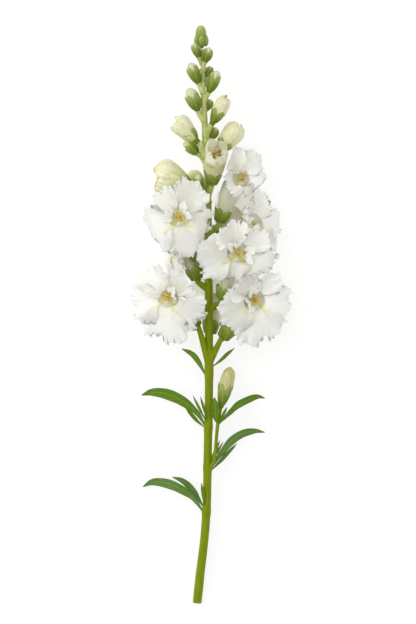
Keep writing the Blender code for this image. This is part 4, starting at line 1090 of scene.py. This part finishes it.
class SNAPDRAGON_OT_buds(bpy.types.Operator):
    """Build the closed and half-open buds and the knob at the tip"""
    bl_idname = "snapdragon.buds"
    bl_label = "Buds"

    def execute(self, context):
        greens = context.scene.snapdragon_greens
        pale = bud_material("bud_petal", greens.bud_foot, greens.bud_tip, 0.45, 0.95)
        khaki = bud_material("side_bud_petal", greens.bud_foot, greens.side_bud, 0.3, 0.6)
        opening = bud_material("opening_petal", greens.bud_foot, greens.opening, 0.0, 0.7)
        tip_green = bud_material("tip_knob", greens.sepal_top, greens.sepal_rim, 0.2, 1.1)
        random = np.random.default_rng(3)
        for name, bud in ALL_BUDS.items():
            tint = khaki if bud is SIDE_SHOOT_BUD else opening if "lips" in bud else pale
            bm = bmesh.new()
            points, along = bud_core(bud)
            add_grid(bm, points, closed=True, along=along, width=0.0)
            finished(f"core_{name}", bm, tint, "bud_green", [f"{name}_petals"])
            bm = bmesh.new()
            for lobe in range(LOBES):
                points, along, width = bud_petal(bud, lobe, random)
                add_grid(bm, points, along=along, width=width)
            finished(f"petals_{name}", bm, tint, "bud_green", [f"{name}_petals"],
                     greens.bud_thickness)
        bm = bmesh.new()
        at, turns = np.linspace(0, 1, KNOB_RINGS)[:, None], turns_round(KNOB_SIDES)
        for offset, half, tall in TIP_KNOBS:
            centre = np.add(STEM[-1][:3], offset)
            path = centre + np.array([0.0, 1.0, 0.0]) * -np.cos(math.pi * at) * tall
            bulge = np.sin(np.linspace(0.02, math.pi - 0.02, KNOB_RINGS))[:, None]
            bulge = bulge * (1 - 0.2 * at)
            radii = half * bulge * (1 + 0.07 * np.cos(SEPALS * turns) * at)
            points = tube_points(path + np.array([0, 0, 1e-4]) * at, radii, KNOB_SIDES)
            add_grid(bm, points, closed=True, along=np.r_[0, at[:, 0], 1][:, None], width=turns)
        finished("knob_of_buds", bm, tip_green, "bud_green", ["tip_buds"])
        return {"FINISHED"}


def calyx_base(f):
    """Middle of the calyx's floor, the axis there and the length of the floret's tube."""
    path, tall = floret_axis(f, 60)
    along = unit(path[3] - path[0])
    return np.array(f["foot"]) + along * (TUBE_START * tall - SOLID_WALL - GAP), along, tall


def floret_cup(f):
    """What sepal_points needs for the sepals that hold a floret, and the turn of the first."""
    base, along, tall = calyx_base(f)
    size = floret_size(f)

    def radius_at(distance):
        ahead = 1.4 if distance <= CUP_FLOOR else 0.8
        return float(tube_radius((distance + ahead) / tall, size)) * 1.08 + GAP + 0.6

    cover = CALYX_LENGTH * (0.95 + 0.25 * size)
    return (base, along, across((0, 1, 0), along), cover, radius_at), 0.0


def bud_cup(bud):
    """The same for the sepals round a bud."""
    foot, along, up, _, tall = bud_frame(bud)

    def radius_at(distance):
        ahead = 1.7 if distance <= CUP_FLOOR else 0.4
        at = np.clip((distance + ahead - BUD_START) / (tall - BUD_START), 0, 1)
        return max(float(bud_radius(at, bud)), 0.8) + 0.75

    return (foot, along, up, min(bud["cover"] + 0.10, 0.97) * tall, radius_at), 0.5


class SNAPDRAGON_OT_sepals(bpy.types.Operator):
    """Build the green sepals round the florets and the buds"""
    bl_idname = "snapdragon.sepals"
    bl_label = "Sepals"

    def execute(self, context):
        greens = context.scene.snapdragon_greens
        dark = sepal_material("floret_sepal", greens, 0.25)
        fresh = sepal_material("bud_sepal", greens, 0.45)
        cups = [(n, floret_cup(f), 0.9, 0.25, dark, "sepal_green", f"floret_{n}_sepals")
                for n, f in FLORETS.items()]
        cups += [(n, bud_cup(b), 0.0, 0.18, fresh, "stem_green", "stem")
                 for n, b in ALL_BUDS.items()]
        for name, (cup, first), flare, lap, material, slot, node in cups:
            bm = bmesh.new()
            for k in range(SEPALS):
                points, s, u = sepal_points(*cup, TURN * (k + first) / SEPALS, flare, lap)
                add_grid(bm, kept_low(points), along=s, width=u)
            finished(f"sepals_{name}", bm, material, slot, [node], greens.sepal_thickness)
        return {"FINISHED"}


class SNAPDRAGON_OT_stamens(bpy.types.Operator):
    """Build the stamens and styles in the open throats"""
    bl_idname = "snapdragon.stamens"
    bl_label = "Stamens"

    def execute(self, context):
        pollen = pollen_material(context.scene.snapdragon_petals)
        for name, heads in STAMENS.items():
            f = FLORETS[name]
            size = floret_size(f)
            path = floret_axis(f, 9)[0]
            face = unit(f["face"])
            up = across((0, 1, 0), face)
            side = np.cross(face, up)
            bm = bmesh.new()

            def add_stalk(line, thick, thin):
                stalk = smooth_path(line, 8)
                radii = np.linspace(thick, thin, len(stalk))
                add_grid(bm, tube_points(stalk, radii, 8, up), closed=True, stalk=1.0)

            for above, beside, rise in heads:
                rise += 2.0 * (f["cup"] > BARREL_CUP)
                out = (up * above + side * beside) * MOUTH_RADIUS * size
                head = path[-1] + out * 1.15 + face * rise * size
                add_stalk([path[1], path[5] + out * 0.55, path[8] + out, head], 0.5, 0.28)
                for lobe in (-1, 1):
                    middle = head + side * lobe * 0.42 + face * 0.2
                    ends = np.cos(np.linspace(math.pi, 0, POD_RINGS))[:, None] * POD_HALF_LENGTH
                    pod = middle + up * ends + face * 1e-4 * np.arange(POD_RINGS)[:, None]
                    girth = np.sin(np.linspace(0.15, math.pi - 0.15, POD_RINGS)) * POD_HALF_WIDTH
                    add_grid(bm, tube_points(pod, girth, POD_SIDES, face), closed=True, stalk=0.0)
            add_stalk([path[1], path[5], path[8] + up * 1.2, path[8] + up * 1.6 + face * 4.4],
                      0.4, 0.22)
            finished(f"stamens_{name}", bm, pollen, "anther_gold", [f"floret_{name}_stamens"],
                     merge=1e-6)
        return {"FINISHED"}


def seated(line, host):
    """The midline with its foot just inside the skin of the host at its nearest point."""
    line = [np.array(p, dtype=float) for p in line]
    host = smooth_path(host, 12)
    nearest = host[np.argmin(np.linalg.norm(host[:, :3] - line[0], axis=1))]
    line[0] = nearest[:3] + unit(line[0] - nearest[:3]) * (nearest[3] - LEAF_SINK)
    return line


def add_blade(bm, line, width, tilt, columns, ripple, low):
    """A lance-shaped blade with a waved edge and a channel down its middle."""
    path = smooth_path(line, LEAF_STEPS)
    tangent, up, side = frame_along(path, (0, 0, 1))
    at = distances(path)
    at = (at / at[-1])[:, None]
    half = width / 2 * smooth_curve(at, LEAF_STOPS, LEAF_WIDTHS)
    lean = math.radians(tilt)
    flat = math.cos(lean) * side + math.sin(lean) * up
    s = np.linspace(-1, 1, columns + 1)[None, :]
    rise = 0.22 * half * np.abs(s) ** 1.3 + 0.10 * np.exp(-(s / 0.12) ** 2)
    edge = ripple * width * np.abs(s) ** 1.5 * np.sin(26 * at + 1.6 * s) * ease(at, 0.05, 0.3)
    points = (path[:, None] + flat[:, None] * (s * half)[..., None]
              + np.cross(flat, tangent)[:, None] * (rise + edge * (1 - at))[..., None])
    add_grid(bm, points, along=at, width=s, low=low)


class SNAPDRAGON_OT_leaves(bpy.types.Operator):
    """Build the leaves and the small blades in their axils"""
    bl_idname = "snapdragon.leaves"
    bl_label = "Leaves"

    def execute(self, context):
        greens = context.scene.snapdragon_greens
        satin = leaf_material(greens)
        for name, leaf in LEAVES.items():
            line = seated(leaf["line"], SIDE_SHOOT if name.startswith("leaf_side") else STEM)
            bm = bmesh.new()
            add_blade(bm, line, leaf["width"], leaf["tilt"], 14, 0.05,
                      1.0 if leaf["line"][0][1] < -100 else 0.1)
            finished(f"blade_{name}", bm, satin, "leaf_green", [name], greens.leaf_thickness)
        bm = bmesh.new()
        for foot, tip, width in BLADES:
            middle = np.add(foot, tip) / 2 + np.array([0, 0, 0.8])
            add_blade(bm, [foot, middle, tip], width, 0, 8, 0.02, 0.0)
        finished("axil_blades", bm, satin, "stem_green", ["stem"], greens.leaf_thickness)
        return {"FINISHED"}


def add_green_tube(bm, path, radii, sides):
    points = tube_points(path, radii, sides)
    add_grid(bm, points, closed=True, along=points[..., 1] * MM)


class SNAPDRAGON_OT_stem(bpy.types.Operator):
    """Build the stem, the side shoot and the stalks of buds and florets"""
    bl_idname = "snapdragon.stem"
    bl_label = "Stem"

    def execute(self, context):
        skin = stem_material(context.scene.snapdragon_greens)
        for name, line, sides in (("main_stem", STEM, 40), ("side_shoot_stem", SIDE_SHOOT, 20)):
            path = smooth_path(line, 14)
            swell = sum(0.12 * np.exp(-((path[:, 1] - y) / 3.0) ** 2) for y in STEM_NODES)
            ridges = 1 + 0.018 * np.cos(6 * turns_round(sides) + 0.5)
            bm = bmesh.new()
            add_green_tube(bm, path[:, :3], (path[:, 3] * (1 + swell))[:, None] * ridges, sides)
            finished(name, bm, skin, "stem_green", ["stem"])

        # Stalks: where each ends, its way there, how far below it leaves the stem, and half width.
        stalks = []
        for bud in BUDS.values():
            foot, along = bud_frame(bud)[:2]
            stalks.append((foot + along * 0.4, along, 3.0 + bud["half"], 1.1 + 0.13 * bud["half"]))
        for f in FLORETS.values():
            base, along = calyx_base(f)[:2]
            stalks.append((base + along * 0.1, along, f.get("drop", 7.0), 1.8))
        bm = bmesh.new()
        for end, along, drop, thick in stalks:
            path = smooth_path([stem_at(end[1] - drop)[:3], end - along * 2.6, end], 8)
            radii = thick * np.interp(np.linspace(0, 1, len(path)), [0, 0.5, 1], [1.5, 1, 1.25])
            add_green_tube(bm, path, radii, STALK_SIDES)
        finished("flower_stalks", bm, skin, "stem_green", ["stem"])
        return {"FINISHED"}


class SNAPDRAGON_OT_hairs(bpy.types.Operator):
    """Scatter the fine pale hairs along the upper stem"""
    bl_idname = "snapdragon.hairs"
    bl_label = "Hairs"

    def execute(self, context):
        greens = context.scene.snapdragon_greens
        random = np.random.default_rng(5)
        tall = greens.hair_length
        bm = bmesh.new()
        bmesh.ops.create_cone(bm, segments=3, radius1=HAIR_RADIUS, radius2=0.0, depth=tall,
                              cap_ends=True)
        one = bpy.data.meshes.new("one_hair")
        bm.to_mesh(one)
        bm.free()
        bm = bmesh.new()
        for _ in range(greens.hairs):
            x, y, z, radius = stem_at(HAIRS_FROM + HAIRS_SPAN * random.random() ** HAIRS_CROWD)
            turn = random.random() * TURN
            out = Vector((math.cos(turn), random.uniform(-0.2, 0.5), math.sin(turn))).normalized()
            place = Vector((x, y, z)) * MM + out * (radius * MM * HAIR_SINK + tall / 2)
            upright = out.to_track_quat("Z", "Y").to_matrix().to_4x4()
            hair = one.copy()
            hair.transform(Matrix.Translation(place) @ upright)
            bm.from_mesh(hair)
            bpy.data.meshes.remove(hair)
        bpy.data.meshes.remove(one)
        finished("stem_hairs", bm, hair_material(greens), "stem_green", merge=1e-7)
        return {"FINISHED"}


class SNAPDRAGON_OT_stage(bpy.types.Operator):
    """Set the table, the light and the camera that looks straight down"""
    bl_idname = "snapdragon.stage"
    bl_label = "Stage"

    def execute(self, context):
        stage, scene = context.scene.snapdragon_stage, context.scene
        bm = bmesh.new()
        bmesh.ops.create_grid(bm, x_segments=8, y_segments=8, size=TABLE_HALF)
        bmesh.ops.translate(bm, verts=bm.verts, vec=(0, 0, SOLID_LOW.z))
        as_object("table_top", bm, floor_material(stage))

        world = bpy.data.worlds.new("soft_room")
        scene.world = world
        world.use_nodes = True
        sky = world.node_tree.nodes["Background"]
        sky.inputs["Color"].default_value = (1.0, 1.0, 1.0, 1.0)
        sky.inputs["Strength"].default_value = stage.sky
        for name, strength, way in (("upper_left_light", stage.sun, (0.72, -0.45, -0.62)),
                                    ("front_light", stage.front, (0.05, -0.05, -1.0))):
            light = bpy.data.lights.new(name, "SUN")
            light.energy = strength
            light.angle = stage.sun_spread
            lamp = bpy.data.objects.new(name, light)
            lamp.rotation_mode = "QUATERNION"
            lamp.rotation_quaternion = Vector(way).to_track_quat("-Z", "Y")
            scene.collection.objects.link(lamp)

        camera = bpy.data.cameras.new("overhead")
        camera.lens = stage.lens
        camera.clip_end = FAR_CLIP
        view = bpy.data.objects.new("overhead", camera)
        x, y, z = PICTURE_MIDDLE
        back = PICTURE_HEIGHT * PIXEL * stage.lens / camera.sensor_width
        view.location = Vector((x, y, z + back)) * MM
        scene.collection.objects.link(view)
        scene.camera = view
        scene.view_settings.view_transform = "Standard"
        return {"FINISHED"}


STEPS = (SNAPDRAGON_OT_stem, SNAPDRAGON_OT_leaves, SNAPDRAGON_OT_petals, SNAPDRAGON_OT_sepals,
         SNAPDRAGON_OT_stamens, SNAPDRAGON_OT_buds, SNAPDRAGON_OT_hairs, SNAPDRAGON_OT_stage)
SETTINGS = {"snapdragon_petals": SNAPDRAGON_PG_petals, "snapdragon_greens": SNAPDRAGON_PG_greens,
            "snapdragon_stage": SNAPDRAGON_PG_stage}


class SNAPDRAGON_PT_panel(bpy.types.Panel):
    """Lists the steps and their settings"""
    bl_idname = "SNAPDRAGON_PT_panel"
    bl_label = "Snapdragon"
    bl_space_type = "VIEW_3D"
    bl_region_type = "UI"
    bl_category = "Snapdragon"

    def draw(self, context):
        for step in STEPS:
            self.layout.operator(step.bl_idname)
        for group in SETTINGS:
            box, settings = self.layout.box(), getattr(context.scene, group)
            for name in settings.__annotations__:
                box.prop(settings, name)


CLASSES = (*SETTINGS.values(), *STEPS, SNAPDRAGON_PT_panel)


def register():
    for cls in CLASSES:
        bpy.utils.register_class(cls)
    for name, cls in SETTINGS.items():
        setattr(bpy.types.Scene, name, bpy.props.PointerProperty(type=cls))


def unregister():
    for name in SETTINGS:
        delattr(bpy.types.Scene, name)
    for cls in reversed(CLASSES):
        bpy.utils.unregister_class(cls)


def main():
    register()
    for step in STEPS:
        group, name = step.bl_idname.split(".")
        getattr(getattr(bpy.ops, group), name)()


if __name__ == "__main__":
    main()
